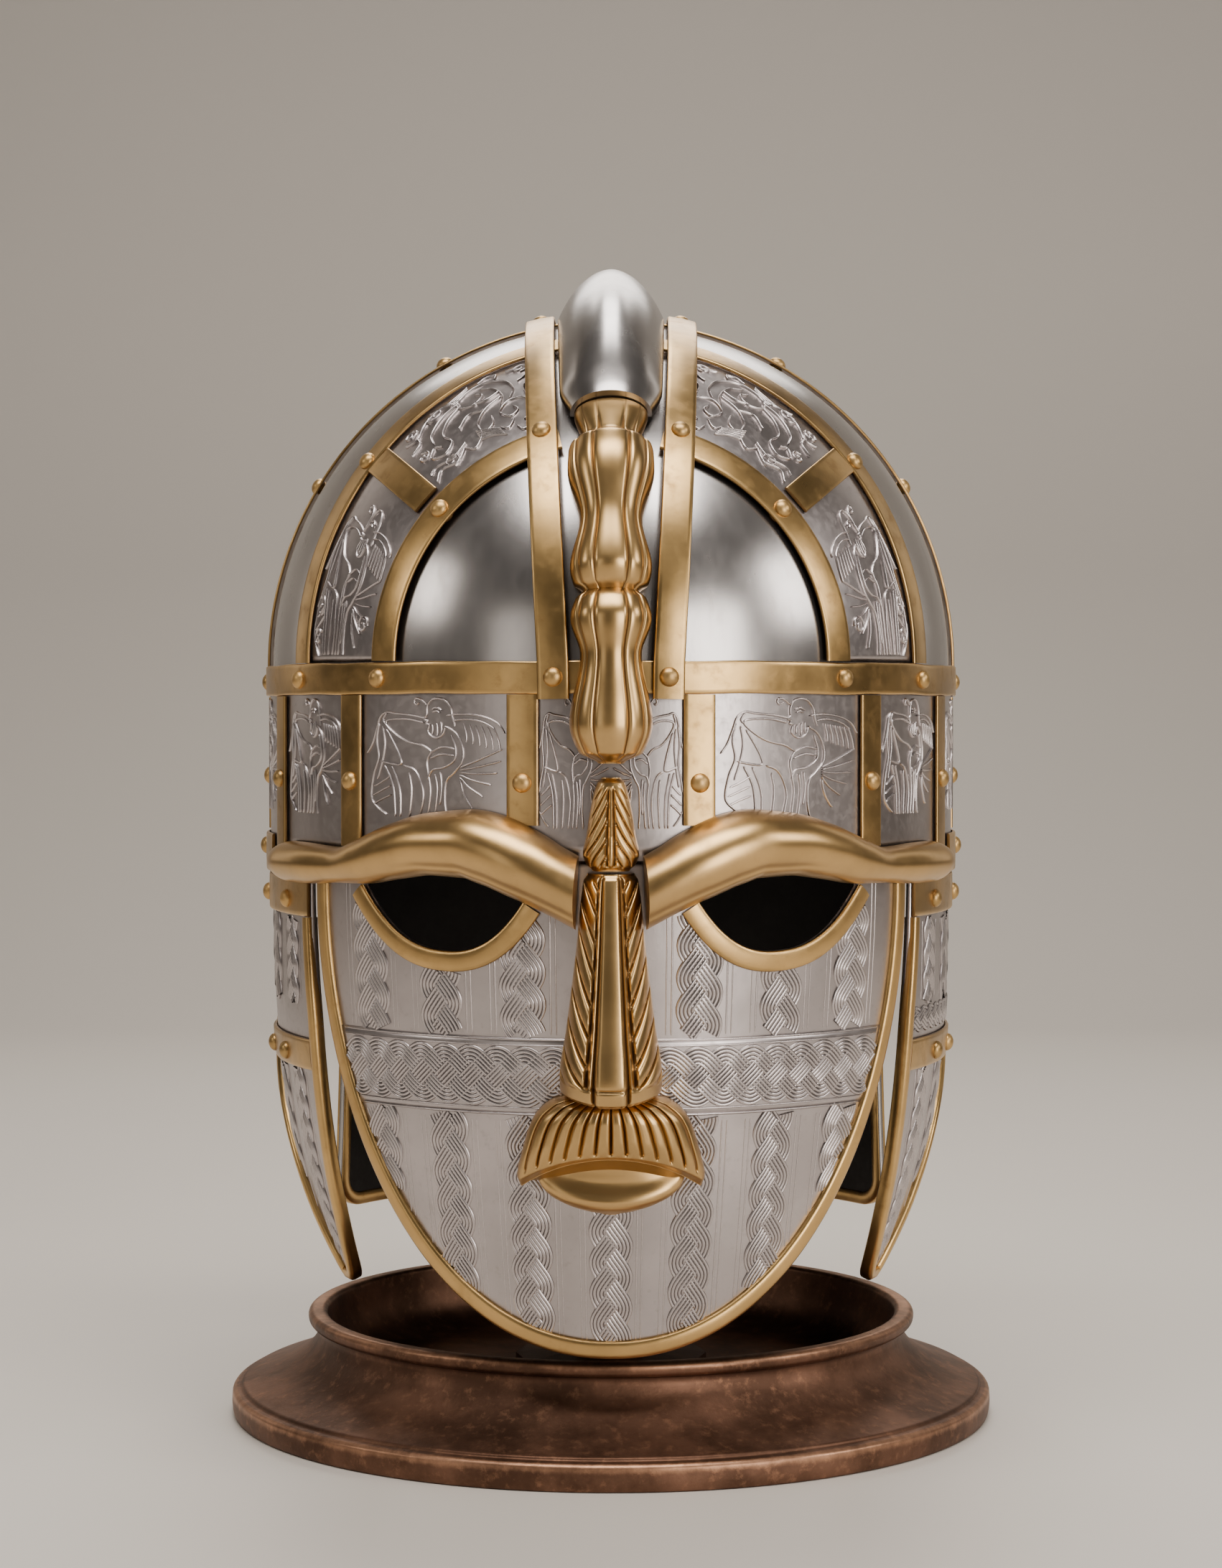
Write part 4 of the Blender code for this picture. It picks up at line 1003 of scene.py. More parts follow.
def build_stand_looks():
    """The turned dish with its lip ring, ogee foot and the boss under it."""
    waist = LIP_RADIUS - 3.0 * MM
    under = STAND_HEIGHT - LIP_DEPTH
    flare = FOOT_RADIUS - waist
    fall = under - FOOT_EDGE
    floor = DISH_FLOOR_Z
    rise = STAND_HEIGHT - floor
    table = (
        # radius, height, wear and painted shade
        (0.0, floor, 0.3),
        (0.70 * LIP_INNER_RADIUS, floor, 0.3),
        (0.82 * LIP_INNER_RADIUS, floor + 0.01 * rise, 0.3),
        (0.90 * LIP_INNER_RADIUS, floor + 0.08 * rise, 0.3),
        (0.955 * LIP_INNER_RADIUS, floor + 0.26 * rise, 0.3),
        (0.985 * LIP_INNER_RADIUS, floor + 0.55 * rise, 0.35),
        (LIP_INNER_RADIUS, floor + 0.86 * rise, 0.6),
        (LIP_INNER_RADIUS + 0.5 * MM, floor + 0.96 * rise, 0.9),
        (LIP_INNER_RADIUS + 1.9 * MM, STAND_HEIGHT, 1.0),
        (LIP_RADIUS - 1.9 * MM, STAND_HEIGHT, 1.0),
        (LIP_RADIUS - 0.4 * MM, STAND_HEIGHT - 0.16 * LIP_DEPTH, 1.0),
        (LIP_RADIUS, STAND_HEIGHT - 0.42 * LIP_DEPTH, 0.85),
        (LIP_RADIUS - 0.2 * MM, under + 0.25 * LIP_DEPTH, 0.5),
        (LIP_RADIUS - 1.2 * MM, under, 0.1),
        (waist, under - 0.02 * fall, 0.0),
        (waist - 0.3 * MM, under - 0.10 * fall, 0.15),
        (waist + 0.02 * flare, under - 0.24 * fall, 0.35),
        (waist + 0.10 * flare, under - 0.40 * fall, 0.5),
        (waist + 0.24 * flare, under - 0.555 * fall, 0.6),
        (waist + 0.42 * flare, under - 0.69 * fall, 0.6),
        (waist + 0.62 * flare, under - 0.80 * fall, 0.5),
        (waist + 0.80 * flare, under - 0.885 * fall, 0.4),
        (waist + 0.875 * flare, under - 0.92 * fall, 0.1),
        (waist + 0.89 * flare, under - 0.955 * fall, 0.2),
        (FOOT_RADIUS - 1.0 * MM, FOOT_EDGE + 0.3 * MM, 1.0),
        (FOOT_RADIUS - 0.1 * MM, FOOT_EDGE - 0.9 * MM, 1.0),
        (FOOT_RADIUS, 0.5 * FOOT_EDGE, 0.6),
        (FOOT_RADIUS - 0.3 * MM, 1.2 * MM, 0.4),
        (FOOT_RADIUS - 1.0 * MM, 0.0, 0.1),
        (FOOT_RING_RADIUS, 0.0, 0.1),
        (FOOT_RING_RADIUS - 1.0 * MM, floor - STAND_WALL, 0.1),
        (BOSS_RADIUS + 1.0 * MM, floor - STAND_WALL, 0.1),
        (BOSS_RADIUS, 0.0, 0.1),
        (0.0, 0.0, 0.1),
    )
    keys = [(i, *row) for i, row in enumerate(table)]
    profile = [smooth_row(keys, i / 4)[1:] for i in range(4 * (len(table) - 1) + 1)]
    sides = 160
    work = Work()
    rings = []
    for radius, z, wear_and_shade in profile[1:-1]:
        ring = []
        for i in range(sides):
            angle = math.tau * i / sides
            place = Vector((radius * math.cos(angle), radius * math.sin(angle), z))
            ring.append(work.vert(place, wear_and_shade))
        rings.append(ring)
    work.rows(rings, closed_across=True)
    for ring, z in ((rings[0], profile[0][1]), (rings[-1], profile[-1][1])):
        work.fan(ring, work.vert(Vector((0.0, 0.0, z)), 0.3))
    made = work.object("dish_stand", "patinated_bronze", 60.0, fix_normals=True)
    dressed(made, "dark_bronze", "stand")


def build_cap_looks():
    """The steel cap with its lower edge higher over the face."""
    sides, wall_rows, dome_rows = 192, 12, 48
    rows = []

    def edge_z(bearing):
        place = round_wall(bearing, 0.0)
        return FACE_CUT_Z if abs(place.x) < FACE_CUT_HALF_WIDTH and place.y < 0 else CAP_EDGE_Z

    bearings = [360.0 * i / sides for i in range(sides)]
    for share in spread(wall_rows):
        rows.append([round_wall(bearing, mix(edge_z(bearing), BROW_Z, share)) for bearing in bearings])
    for i in range(1, dome_rows):
        angle = math.radians(90.0 * i / dome_rows)
        z = BROW_Z + DOME_RISE * math.sin(angle)
        ring = [round_wall(bearing, z) for bearing in bearings]
        rows.append([Vector((point.x * math.cos(angle), point.y * math.cos(angle), z)) for point in ring])
    work = Work()
    made = [[work.vert(point) for point in row] for row in rows]
    work.rows(made, closed_across=True)
    work.fan(made[-1], work.vert(Vector((0.0, 0.0, BROW_Z + DOME_RISE))))
    cap = work.object("steel_cap", "polished_steel", fix_normals=True)
    add_wall(cap, CAP_WALL)
    dressed(baked(cap), "polished_steel", "cap")


FIGURE_BASE = FOIL_LIFT + FOIL_THICKNESS

# Panels, in millimetres on their charts. A drawn figure is FIGURE_HALF_WIDTH to each side
PANEL_REACH = 34.0
PANEL_HALF_WIDTH = 16.2
LOW_PANEL_ANGLE, LOW_PANEL_DOWN = 34.5, 61.5
HIGH_PANEL_ANGLE, HIGH_PANEL_DOWN = 75.5, 55.5
UNDER_STRIP = 4.9
FIGURE_HALF_WIDTH = 20.0
MIDDLE_PANEL_DOWN = 42.0
MIDDLE_PANELS = (
    # bearing, half width, scale of the two figures
    (0.0, 20.2, 0.56),
    (180.0, 46.0, 1.15),
)


def panel_chart(facing, hand, top_angle):
    """A chart on a dome panel: along is down from its top angle, across is from arch to arch."""
    radius = DOME_RISE / MM

    def chart(s, u, rise):
        angle = top_angle - math.degrees(s / radius)
        near = outer_arch_y(angle) + STRIP_WIDTH / 2
        far = INNER_ARCH_Y - STRIP_WIDTH / 2
        y = mix(far, near, 0.5 + u / PANEL_REACH)
        place = on_cap(dome_point(angle, y), FIGURE_BASE + rise * MM)
        return Vector((place.x * hand, place.y * facing, place.z))

    return chart


def panel(half_width, top, bottom):
    """Says whether a place on a chart lies on a panel of this half width from its top to its bottom."""
    return lambda s, u: abs(u) < half_width and top < s < bottom


def build_foil_looks():
    """Pressed foil under the strips, with raised line figures on each panel."""
    top = BROW_Z - BROW_BAND_WIDTH / 2
    bearings = [360.0 * i / 192 for i in range(192)]
    grid = []
    for bearing in bearings:
        heights = [mix(top, FACE_CUT_Z, share) for share in spread(12)]
        grid.append([on_cap(round_wall(bearing, z), FOIL_LIFT) for z in heights])
    made = skin("brow_panels", grid, FOIL_THICKNESS, "pressed_silver", closed=True)
    dressed(baked(made), "silver_foil", "brow_foil")

    work = Work()
    panel_top = BROW_Z - BROW_BAND_WIDTH
    depth = (panel_top - FOIL_BOTTOM_Z) / MM - 1.0
    warrior = FIGURE + FEATHERS
    for start, end in zip(LOWER_STRIP_BEARINGS, LOWER_STRIP_BEARINGS[1:]):
        half = math.radians(end - start) / 2 * CHART_REACH - UNDER_STRIP
        for hand in (1, -1):
            chart = wall_chart(on_cap, hand * (start + end) / 2, panel_top, FIGURE_BASE)
            figure(work, warrior, chart, panel(half, 0.4, depth), half / FIGURE_HALF_WIDTH, 1.0)
    for middle, reach, scale in MIDDLE_PANELS:
        chart = wall_chart(on_cap, middle, panel_top, FIGURE_BASE)
        for hand in (1, -1):

            def keep(s, u, hand=hand, reach=reach):
                return abs(u) < reach and u * hand > 0.4 and 0.4 < s < MIDDLE_PANEL_DOWN

            figure(work, warrior, chart, keep, scale, 1.08, -hand, hand * 0.52 * reach)
    for facing in (1, -1):
        for hand in (1, -1):
            chart = panel_chart(facing, hand, LOW_PANEL_ANGLE)
            keep = panel(PANEL_HALF_WIDTH, 0.6, LOW_PANEL_DOWN)
            figure(work, warrior, chart, keep, 0.86, 1.82, -1, width=0.9, height=0.65)
            figure(work, CURLS[:3], chart, keep, 1.0, 1.75, width=0.85, height=0.65)
            chart = panel_chart(facing, hand, HIGH_PANEL_ANGLE)
            keep = panel(PANEL_HALF_WIDTH, 1.0, HIGH_PANEL_DOWN)
            figure(work, BEASTS + CURLS + HATCHES, chart, keep, 0.95, 1.62, width=0.95, height=0.7)
    made = work.object("brow_and_dome_figures", "pressed_silver", 70.0)
    dressed(made, "silver_foil")

    for facing, face in ((1, "front"), (-1, "back")):
        for hand, side in ((1, "left"), (-1, "right")):
            grid = []
            for share in spread(48):
                row = []
                for across in spread(12):
                    y = mix(outer_arch_y(0.2 + share * 75.3), INNER_ARCH_Y, across)
                    point = dome_point(mix(0.2, crest_meeting_angle(y), share), -y)
                    point = on_cap(point, FOIL_LIFT)
                    row.append(Vector((point.x * hand, point.y * facing, point.z)))
                grid.append(row if hand * facing < 0 else row[::-1])
            made = skin(f"dome_panel_{face}_{side}", grid, FOIL_THICKNESS, "pressed_silver")
            dressed(baked(made), "silver_foil", f"dome_foil_{face}_{side}")


def build_band_looks():
    """The band round the brow, the lower band, the arches, the cross strips and the upright strips."""
    bearings = [360.0 * i / 216 for i in range(216)]
    path = [round_wall(bearing, BROW_Z - BROW_BAND_WIDTH / 2) for bearing in bearings]
    made = band("brow_band_looks", path, BROW_BAND_WIDTH, closed=True, waver=0.12 * MM)
    dressed(made, "brass", "brow_band")
    middle = CAP_EDGE_Z + EDGE_BAND_WIDTH / 2
    path = [round_wall(mix(EDGE_BAND_START, 360 - EDGE_BAND_START, share), middle) for share in spread(130)]
    dressed(band("lower_band", path, EDGE_BAND_WIDTH), "brass", "edge_band")
    foot = 0.15
    for facing, face in ((-1, "front"), (1, "back")):
        angles = [mix(foot, 180 - foot, share) for share in spread(120)]
        path = [dome_point(angle, facing * outer_arch_y(angle)) for angle in angles]
        dressed(band(f"outer_arch_{face}_looks", path, STRIP_WIDTH), "brass", f"outer_arch_{face}")
        path = [dome_point(mix(foot + 0.15, 77.0, s), facing * INNER_ARCH_Y) for s in spread(60)]
        made = band(f"inner_arch_{face}_looks", path, STRIP_WIDTH, mirror=0)
        dressed(made, "brass", f"inner_arch_{face}")
        near = outer_arch_y(CROSS_STRIP_ANGLE) + STRIP_WIDTH / 2 + 0.3 * MM
        far = INNER_ARCH_Y - STRIP_WIDTH / 2 - 0.3 * MM
        path = [dome_point(CROSS_STRIP_ANGLE, facing * mix(near, far, s)) for s in spread(8)]
        names = [f"cross_strip_{face}_{side}" for side in ("left", "right")]
        dressed(band(f"cross_strips_{face}", path, STRIP_WIDTH, mirror=0), "brass", *names)
    path = [dome_point(mix(foot, 180 - foot, s), 0.0) for s in spread(120)]
    dressed(band("ear_strip", path, STRIP_WIDTH), "brass", "ear_band")
    top = BROW_Z - BROW_BAND_WIDTH - 0.2 * MM
    work = Work()
    names = []
    for number, bearing in enumerate(LOWER_STRIP_BEARINGS, 1):
        end = lower_strip_foot(bearing) - (4.5 * MM if bearing < EDGE_BAND_START else 0.0)
        path = [round_wall(bearing, mix(top, end, s)) for s in spread(10)]
        rows = band_rows(path, STRIP_WIDTH, on_cap, STRIP_LIFT, STRIP_THICKNESS)
        add_band(work, rows)
        add_band(work, mirror_rows(rows, 0))
        names += [f"lower_strip_{number}_left", f"lower_strip_{number}_right"]
    dressed(work.object("upright_strips", "aged_brass", 60.0, fix_normals=True), "brass", *names)


def lobed_shape(share, along):
    """Five lobes: a broad flat one in the middle and two rounded ones on each side."""
    grooves = (0.0, 0.38, 0.76, 1.0)
    place = abs(share)
    rise = half_round(min(1.0, place)) * 0.95
    dent = 0.0
    for groove in grooves[1:3]:
        dent = max(dent, math.exp(-(((place - groove) / 0.035) ** 2)))
    low, high = next((a, b) for a, b in zip(grooves, grooves[1:]) if place <= b + 1e-9)
    bulge = math.sin(math.pi * (place - low) / (high - low)) if low else math.cos(math.pi / 2 * place / high)
    ends = smoothstep(0.0, 0.12, along) * smoothstep(0.0, 0.04, 1.0 - along)
    return rise + (0.03 * bulge - 0.055 * dent) * ends, 0.88 - 0.75 * dent


def build_crest_looks():
    """The side strips, the steel tube between them and the cast gourds below its mouths."""
    path = [face_line_point(BROW_Z - BROW_BAND_WIDTH - 1.5 * MM) + Vector((CREST_STRIP_FOOT_X, 0.0, 0.0))]
    foot = [mix(path[0], meridian_point(CREST_STRIP_FOOT_X, 0.0), share) for share in spread(4)[:-1]]
    arc = []
    for share in spread(130):
        angle = 180.0 * share
        out = CREST_STRIP_SPREAD * math.sin(math.radians(angle))
        arc.append(meridian_point(CREST_STRIP_FOOT_X + out, angle))
    path = foot + arc + [Vector((point.x, -point.y, point.z)) for point in reversed(foot)]
    made = band(
        "crest_side_strips", path, CREST_STRIP_WIDTH,
        lift=CREST_LIFT, thickness=CREST_STRIP_THICKNESS, mirror=0,
    )
    dressed(made, "brass", "crest_strip_left", "crest_strip_right")

    steps = 110
    angles = [mix(TUBE_MOUTH_ANGLE, 180.0 - TUBE_MOUTH_ANGLE, share) for share in spread(steps)]
    path = [meridian_point(0.0, angle) for angle in angles]
    swell = [math.sin(math.pi * share) ** 0.7 for share in spread(steps)]
    eased = [smoothstep(-0.02, 0.055, min(share, 1.0 - share)) for share in spread(steps)]
    half_widths = [
        mix(TUBE_MOUTH_HALF_WIDTH, TUBE_HALF_WIDTH, share) * mix(0.78, 1.0, ease)
        for share, ease in zip(swell, eased)
    ]
    heights = [mix(TUBE_MOUTH_HEIGHT, TUBE_HEIGHT, share) for share in swell]

    def tube_shape(share, along):
        round_top, pointed = half_round(share), 1.0 - abs(share) ** 1.8
        return mix(round_top, pointed, math.sin(math.pi * along) ** 0.5), 0.6

    made = casting(
        "crest_steel_tube", path, half_widths, heights, on_cap, CREST_LIFT, tube_shape, 56, "polished_steel"
    )
    dressed(made, "polished_steel", "crest_tube")
    made = cast_down(
        "crest_gourds", ORNAMENT_SECTIONS, 150, ORNAMENT_TOP_Z, ORNAMENT_BOTTOM_Z,
        ORNAMENT_WIDTH, ORNAMENT_HEIGHT, face_line_point, on_cap, CREST_LIFT, lobed_shape, 88, mirror=1,
    )
    dressed(made, "gilt_bronze", "crest_ornament_front", "crest_ornament_back")


EYEBROW_LOOKS = (
    # reach, rise, width, height
    (-0.026, -0.17, 0.80, 0.90),
    (0.053, 0.18, 0.82, 0.96),
    (0.139, 0.54, 0.88, 1.00),
    (0.222, 0.84, 0.90, 0.97),
    (0.306, 1.00, 0.86, 0.91),
    *EYEBROW_SECTIONS[5:],
)


def build_eyebrow_looks():
    """The cast eyebrows, from a pointed inner end to the knob at the temple."""
    table = [(-0.086, -0.46, 0.76, 0.86), *EYEBROW_LOOKS]
    path, half_widths, heights = [], [], []
    for share in spread(120):
        reach, rise, width, height = smooth_row(table, mix(-0.026, 1.0, share))
        x = mix(EYEBROW_INNER_X, EYEBROW_OUTER_X, reach)
        edge = x / (CAP_HALF_WIDTH + 2 * EYEBROW_LIFT)
        y = -CAP_HALF_DEPTH * math.sqrt(1.0 - edge * edge)
        path.append(Vector((x, y, EYEBROW_INNER_Z + EYEBROW_RISE * rise)))
        half_widths.append(EYEBROW_WIDTH * width / 2)
        heights.append(EYEBROW_HEIGHT * height)

    def brow_shape(share, along):
        """Half round, with a soft crease along the under side of its inner half."""
        crease = math.exp(-(((share - 0.62) / 0.10) ** 2)) * smoothstep(0.62, 0.40, along)
        return half_round(share) - 0.05 * crease, 0.8 - 0.5 * crease

    leans = [-0.52 * smoothstep(0.13, 0.0, share) for share in spread(120)]
    made = casting(
        "cast_eyebrows", path, half_widths, heights, on_cap, EYEBROW_LIFT, brow_shape, 56, "gilt_bronze",
        mirror=0, leans=leans,
    )
    dressed(made, "gilt_bronze", "eyebrow_left", "eyebrow_right")


def leaf_shape(share, along):
    """A leaf: a raised spine inside a plain rim, and veins that fall outwards from the spine."""
    place = abs(share)
    body = half_round(min(1.0, place)) ** 0.8 * 0.86
    ends = smoothstep(0.12, 0.18, along) * smoothstep(0.94, 0.90, along)
    spine = math.exp(-((place / 0.08) ** 4)) * ends
    beside = math.exp(-(((place - 0.14) / 0.045) ** 2)) * ends
    wave = (along - 0.45 * (place - 0.2)) * 6.0 - 0.9
    pleat = abs(math.sin(math.pi * wave))
    zone = smoothstep(0.14, 0.22, place) * smoothstep(0.92, 0.80, place)
    zone *= smoothstep(0.10, 0.20, along) * smoothstep(0.97, 0.90, along)
    vein = (1.0 - pleat) ** 2.2 * zone
    return body + 0.08 * spine - 0.09 * beside - 0.15 * vein + 0.04 * zone, 0.88 - 0.85 * max(vein, beside)


def nose_shape(share, along):
    """A flat ridge between two beads, and slanting grooves down both cheeks to a plain foot."""
    place = abs(share)
    ridge, bead = 0.27, 0.40
    if place < ridge:
        body = 1.0 - 0.03 * (place / ridge) ** 2
    else:
        body = 0.93 * (1.0 - (place - ridge) / (1.0 - ridge)) ** 0.56
    foot = smoothstep(0.875, 0.905, along)
    top = smoothstep(0.015, 0.035, along)
    channel = math.exp(-(((place - ridge) / 0.035) ** 2)) * top
    inner = math.exp(-(((place - bead) / 0.035) ** 2)) * top * (1.0 - foot)
    wave = (along + 0.30 * (place - bead)) * 8.8
    pleat = abs(math.sin(math.pi * wave))
    zone = smoothstep(bead, bead + 0.06, place) * smoothstep(1.0, 0.94, place)
    zone *= smoothstep(0.03, 0.07, along) * (1.0 - foot)
    groove = (1.0 - pleat) ** 3.2 * zone
    seam = math.exp(-(((along - 0.885) / 0.010) ** 2)) * smoothstep(bead, ridge, place)
    height = body - 0.10 * channel - 0.08 * inner - 0.11 * groove + 0.05 * pleat * zone - 0.03 * seam
    return height, 0.88 - 0.88 * max(channel, inner, groove, 0.5 * seam)


def moustache_shape(share, along):
    """Fourteen pleats that fan out from under the nose, over a plain rounded lower edge."""
    body = half_round(min(1.0, abs(share))) ** 0.75
    wave = (share + 1.0) / 2 * MOUSTACHE_PLEATS
    pleat = abs(math.sin(math.pi * wave))
    zone = smoothstep(0.02, 0.10, along) * smoothstep(0.86, 0.78, along)
    groove = (1.0 - pleat) ** 2.8 * zone
    return body * (1.0 - 0.16 * groove), 0.9 - 0.85 * groove


LIP_LOOKS = (
    # down, width, height
    (0.00, 0.30, 0.60),
    (0.07, 0.50, 0.78),
    (0.185, 0.78, 0.90),
    (0.30, 0.94, 0.96),
    (0.42, 1.00, 1.00),
    (0.54, 0.96, 1.00),
    (0.68, 0.84, 0.98),
    (0.82, 0.61, 0.86),
    (0.92, 0.36, 0.60),
    (1.00, 0.14, 0.24),
)


def lip_shape(share, along):
    """A lens-shaped hollow over a rolled lower lip."""
    body = half_round(min(1.0, abs(share))) ** 0.7
    across = abs(share) * smooth_row(LIP_LOOKS, along)[1]
    edge = 0.68 - 0.21 * across * across
    bed = smoothstep(edge + 0.05, edge - 0.22, along) * smoothstep(1.0, 0.8, across)
    dip = math.sin(math.pi * min(1.0, along / edge)) * bed
    return body * (1.0 - 0.26 * bed - 0.12 * dip), 0.85 - 0.30 * bed


def build_face_looks():
    """The cast leaf, nose, moustache and lip down the middle of the face."""
    made = cast_down(
        "cast_nose_leaf", LEAF_SECTIONS, 110, LEAF_TOP_Z, LEAF_BOTTOM_Z, LEAF_WIDTH, LEAF_HEIGHT,
        face_line_point, on_cap, STRIP_LIFT, leaf_shape, 72,
    )
    dressed(made, "gilt_bronze", "nose_leaf")

    def middle_of_mask(z):
        return mask_point(0.0, z)

    made = cast_down(
        "cast_nose", NOSE_SECTIONS, 190, NOSE_TOP_Z, NOSE_BOTTOM_Z, 1.05 * NOSE_WIDTH, NOSE_HEIGHT,
        middle_of_mask, on_mask, RIM_LIFT, nose_shape, 130,
    )
    dressed(made, "gilt_bronze", "nose")

    def bowed(top_bow, bottom_bow, top_z, bottom_z):
        """A seat on the mask whose lines across bow down at their ends by so much."""

        def seat(point, lift=0.0):
            share = (top_z - point.z) / (top_z - bottom_z)
            drop = mix(top_bow, bottom_bow, max(0.0, min(1.0, share)))
            across = min(1.0, abs(point.x) / (25.0 * MM))
            return on_mask(Vector((point.x, point.y, point.z - drop * across * across)), lift)

        return seat

    seat = bowed(-4.5 * MM, 9.2 * MM, MOUSTACHE_TOP_Z, MOUSTACHE_BOTTOM_Z + 5.0 * MM)
    made = cast_down(
        "cast_moustache", MOUSTACHE_SECTIONS, 90, MOUSTACHE_TOP_Z, MOUSTACHE_BOTTOM_Z + 4.6 * MM,
        1.06 * MOUSTACHE_WIDTH, MOUSTACHE_HEIGHT, middle_of_mask, seat, RIM_LIFT,
        moustache_shape, 16 * MOUSTACHE_PLEATS,
    )
    dressed(made, "gilt_bronze", "moustache")
    made = cast_down(
        "cast_lip", LIP_LOOKS, 90, LIP_TOP_Z + 6.7 * MM, LIP_BOTTOM_Z, LIP_WIDTH, LIP_HEIGHT,
        middle_of_mask, on_mask, RIM_LIFT, lip_shape, 64,
    )
    dressed(made, "gilt_bronze", "lip")


def inside_mask(place, inset):
    """True where a place on the mask lies inside its rim and clear of both eye openings' rims."""
    x, z = abs(place.x), place.z
    if z > MASK_SIDE_Z + 2 * MM:
        return False
    half_width, drop = MASK_HALF_WIDTH - inset, MASK_DROP - inset
    if z < MASK_SIDE_Z and (x / half_width) ** MASK_ROUNDNESS + ((MASK_SIDE_Z - z) / drop) ** 2 > 1.0:
        return False
    if x > half_width:
        return False
    middle, half = (EYE_INNER_X + EYE_OUTER_X) / 2, (EYE_OUTER_X - EYE_INNER_X) / 2
    out = EYE_RIM_WIDTH - 0.6 * MM
    across = (x - middle) / (half + out)
    if abs(across) < 1.0:
        edge = mix(EYE_INNER_Z, EYE_OUTER_Z, (across + 1) / 2)
        return z < edge - (EYE_DIP + out) * (1.0 - abs(across) ** EYE_ROUNDNESS)
    return True


BAND_TOP_Z = 127.0 * MM
BAND_BOTTOM_Z = 105.0 * MM
COLUMN_BEARINGS = (0.0, 13.75, 27.5, 41.2)
COLUMN_WIDTH = 14.2
COLUMN_LINES = ((-8.3, 0.7), (-9.9, 0.5), (8.3, 0.7), (9.9, 0.5))
CROSS_BAND_WIDTH = 17.2
CROSS_BAND_REACH = 100.0
CROSS_BAND_LINES = (-10.6, -8.9, 8.9, 10.6)
LINE_HEIGHT = 0.16
CROSS_LINE_HEIGHT = 0.30


